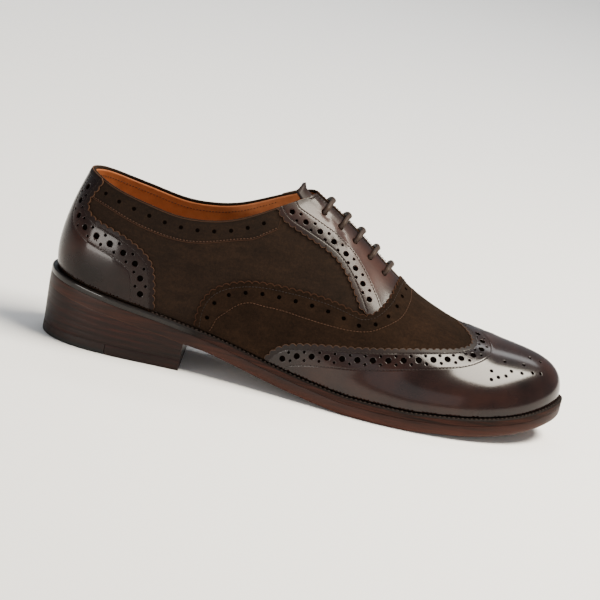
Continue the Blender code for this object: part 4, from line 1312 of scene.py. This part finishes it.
def stackProfile():
    # Each lift swells a little between the joints: a cosine to a high power dips at every joint
    share = np.linspace(0, 1, 8 * heel["lifts"] + 1)
    dip = heel["joint"] * (abs(np.cos(math.pi * heel["lifts"] * share)) ** heel["sharp"])
    return np.stack([heel["inset"] * (1 - share) + dip, share], axis=1)


def level(height):
    # A height that is the same everywhere
    return lambda x: np.full_like(x, height)


def stackTop(x):
    # Just under the outsole
    return underside(x) - heel["seatGap"]


stackShape = (stackProfile(), level(heel["topLift"] + last["gap"]), stackTop)
liftShape = (np.array(heel["liftEdge"]), level(0.0), level(heel["topLift"] + heel["liftRise"]))
solidRows = (
    ("heelStackLeather", 0.0, breastRib, stackShape, heelFinish, "heel_leather", "heel_stack"),
    ("rubberQuarter", 0.0, rubberRib, liftShape, rubberFinish, "rubber", "rubber_tip"),
    ("topLiftLeather", liftRib, breastRib, liftShape, heelFinish, "sole_leather", "top_lift"),
)
for name, first, final, shape, finish, slot, node in solidRows:
    points, faces = ringSolid(stackRings(first, final, *shape))
    smoothPiece(name, points, faces, finish, slot, [node], 35)

insole = {"inset": 2.6, "shares": (0, 0.4, 0.8, 1.0)}
rows = [(share, 0.0) for share in insole["shares"]] + [(share, last["insole"]) for share in insole["shares"][::-1]]
inset = np.full(len(soleRibs), -insole["inset"])
plans = [(towardsSpine(planOutline, inset, share), height) for share, height in rows]
points, faces = ringSolid([withHeight(plan, featherHeight(plan[:, 0]) + height) for plan, height in plans])
smoothPiece("insoleSock", points, faces, liningFinish, "lining_leather", ["insole"])
print("bottom ready")

# Stitching, one piece for each thread
grainFaces = gridFaces(grain["rings"], grain["around"], closedRows=True)
grainPoints = grain["rings"] * grain["around"]
for name, key, finish in (("darkStitching", "dark", threadFinish), ("russetStitching", "tan", tanThreadFinish),
                          ("weltStitching", "welt", weltThreadFinish)):
    points = np.concatenate(stitchRuns[key])
    starts = np.arange(0, len(points), grainPoints)[:, None, None]
    smoothPiece(name, points, (starts + grainFaces).reshape(-1, 4), finish, angle=80)

# Camera: the photograph's angle, turned about its own axis, so that the shoe on its flat floor has the same lie
view = {"elevation": 13.8, "roll": 12.6, "distance": 1600.0, "aim": (150.0, 0.0, 50.0), "width": 348.3,
        "right": -6.5, "sensor": 36.0, "clip": 100.0}
elevation, roll = math.radians(view["elevation"]), math.radians(view["roll"])
back = np.array([0, -math.cos(elevation), math.sin(elevation)])
right = np.array([1.0, 0, 0])
upward = np.cross(back, right)
cameraX = math.cos(roll) * right + math.sin(roll) * upward
cameraY = -math.sin(roll) * right + math.cos(roll) * upward
aim = np.array(view["aim"]) - shoeCentre + cameraX * view["right"]
camera = bpy.data.objects.new("camera", bpy.data.cameras.new("camera"))
bpy.context.scene.collection.objects.link(camera)
camera.data.sensor_width = view["sensor"]
camera.data.lens = view["sensor"] * view["distance"] / view["width"]
camera.data.clip_end = view["clip"]
place = np.eye(4)
place[:3, 0], place[:3, 1], place[:3, 2] = cameraX, cameraY, back
place[:3, 3] = (aim + back * view["distance"]) * mm
camera.matrix_world = Matrix(place.tolist())
bpy.context.scene.camera = camera

# Floor and light
floorHalf = 6.0  # m
floorMesh = bpy.data.meshes.new("floor")
corners = [(x * floorHalf, y * floorHalf, 0) for x, y in ((-1, -1), (1, -1), (1, 1), (-1, 1))]
floorMesh.from_pydata(corners, [], [(0, 1, 2, 3)])
floor = bpy.data.objects.new("floor", floorMesh)
bpy.context.scene.collection.objects.link(floor)
floorMesh.materials.append(Finish("pale floor", Roughness=0.9, Base_Color=rgb(0.92, 0.92, 0.92)).material)

world = bpy.data.worlds.new("studio")
bpy.context.scene.world = world
world.use_nodes = True
sky = world.node_tree.nodes["Background"].inputs
sky["Color"].default_value = rgb(0.88, 0.94, 1.0)
sky["Strength"].default_value = 0.34

# Soft boxes: place, aim (m), width, height (m), turn about the beam (degrees), power (W), colour
lamps = {
    "overhead": ((0.76, -0.15, 1.37), (0.05, 0.0, 0.06), 1.00, 0.50, 6.0, 78.0, (1.0, 0.915, 0.77)),
    "ceiling": ((0.62, 0.50, 1.40), (0.05, 0.0, 0.06), 1.1, 0.9, 0.0, 1.5, (1.0, 0.97, 0.93)),
    "side": ((-0.95, -1.14, 0.10), (-0.05, 0.0, 0.06), 0.95, 0.15, 0.0, 15.0, (1.0, 0.95, 0.88)),
    "front": ((0.36, -1.89, 0.61), (0.09, 0.0, 0.03), 1.46, 0.85, 0.0, 4.8, (1.0, 1.0, 1.0)),
    "beyond": ((0.20, 1.30, 1.60), (0.20, 2.20, 0.0), 1.6, 0.9, 0.0, 26.0, (1.0, 1.0, 1.0)),
}
for name, (spot, target, width, height, spin, power, colour) in lamps.items():
    lamp = bpy.data.objects.new(name, bpy.data.lights.new(name, "AREA"))
    lamp.data.shape = "RECTANGLE"
    lamp.data.size, lamp.data.size_y = width, height
    lamp.data.energy, lamp.data.color = power, colour
    ahead = unit(np.array(spot) - np.array(target))
    across = unit(np.cross(ahead, (0.0, 0.0, -1.0)))
    across = math.cos(math.radians(spin)) * across + math.sin(math.radians(spin)) * np.cross(ahead, across)
    turn = np.eye(4)
    turn[:3, 0], turn[:3, 1], turn[:3, 2], turn[:3, 3] = across, np.cross(ahead, across), ahead, spot
    lamp.matrix_world = Matrix(turn.tolist())
    bpy.context.scene.collection.objects.link(lamp)
print("camera and light ready")

bpy.context.view_layer.update()
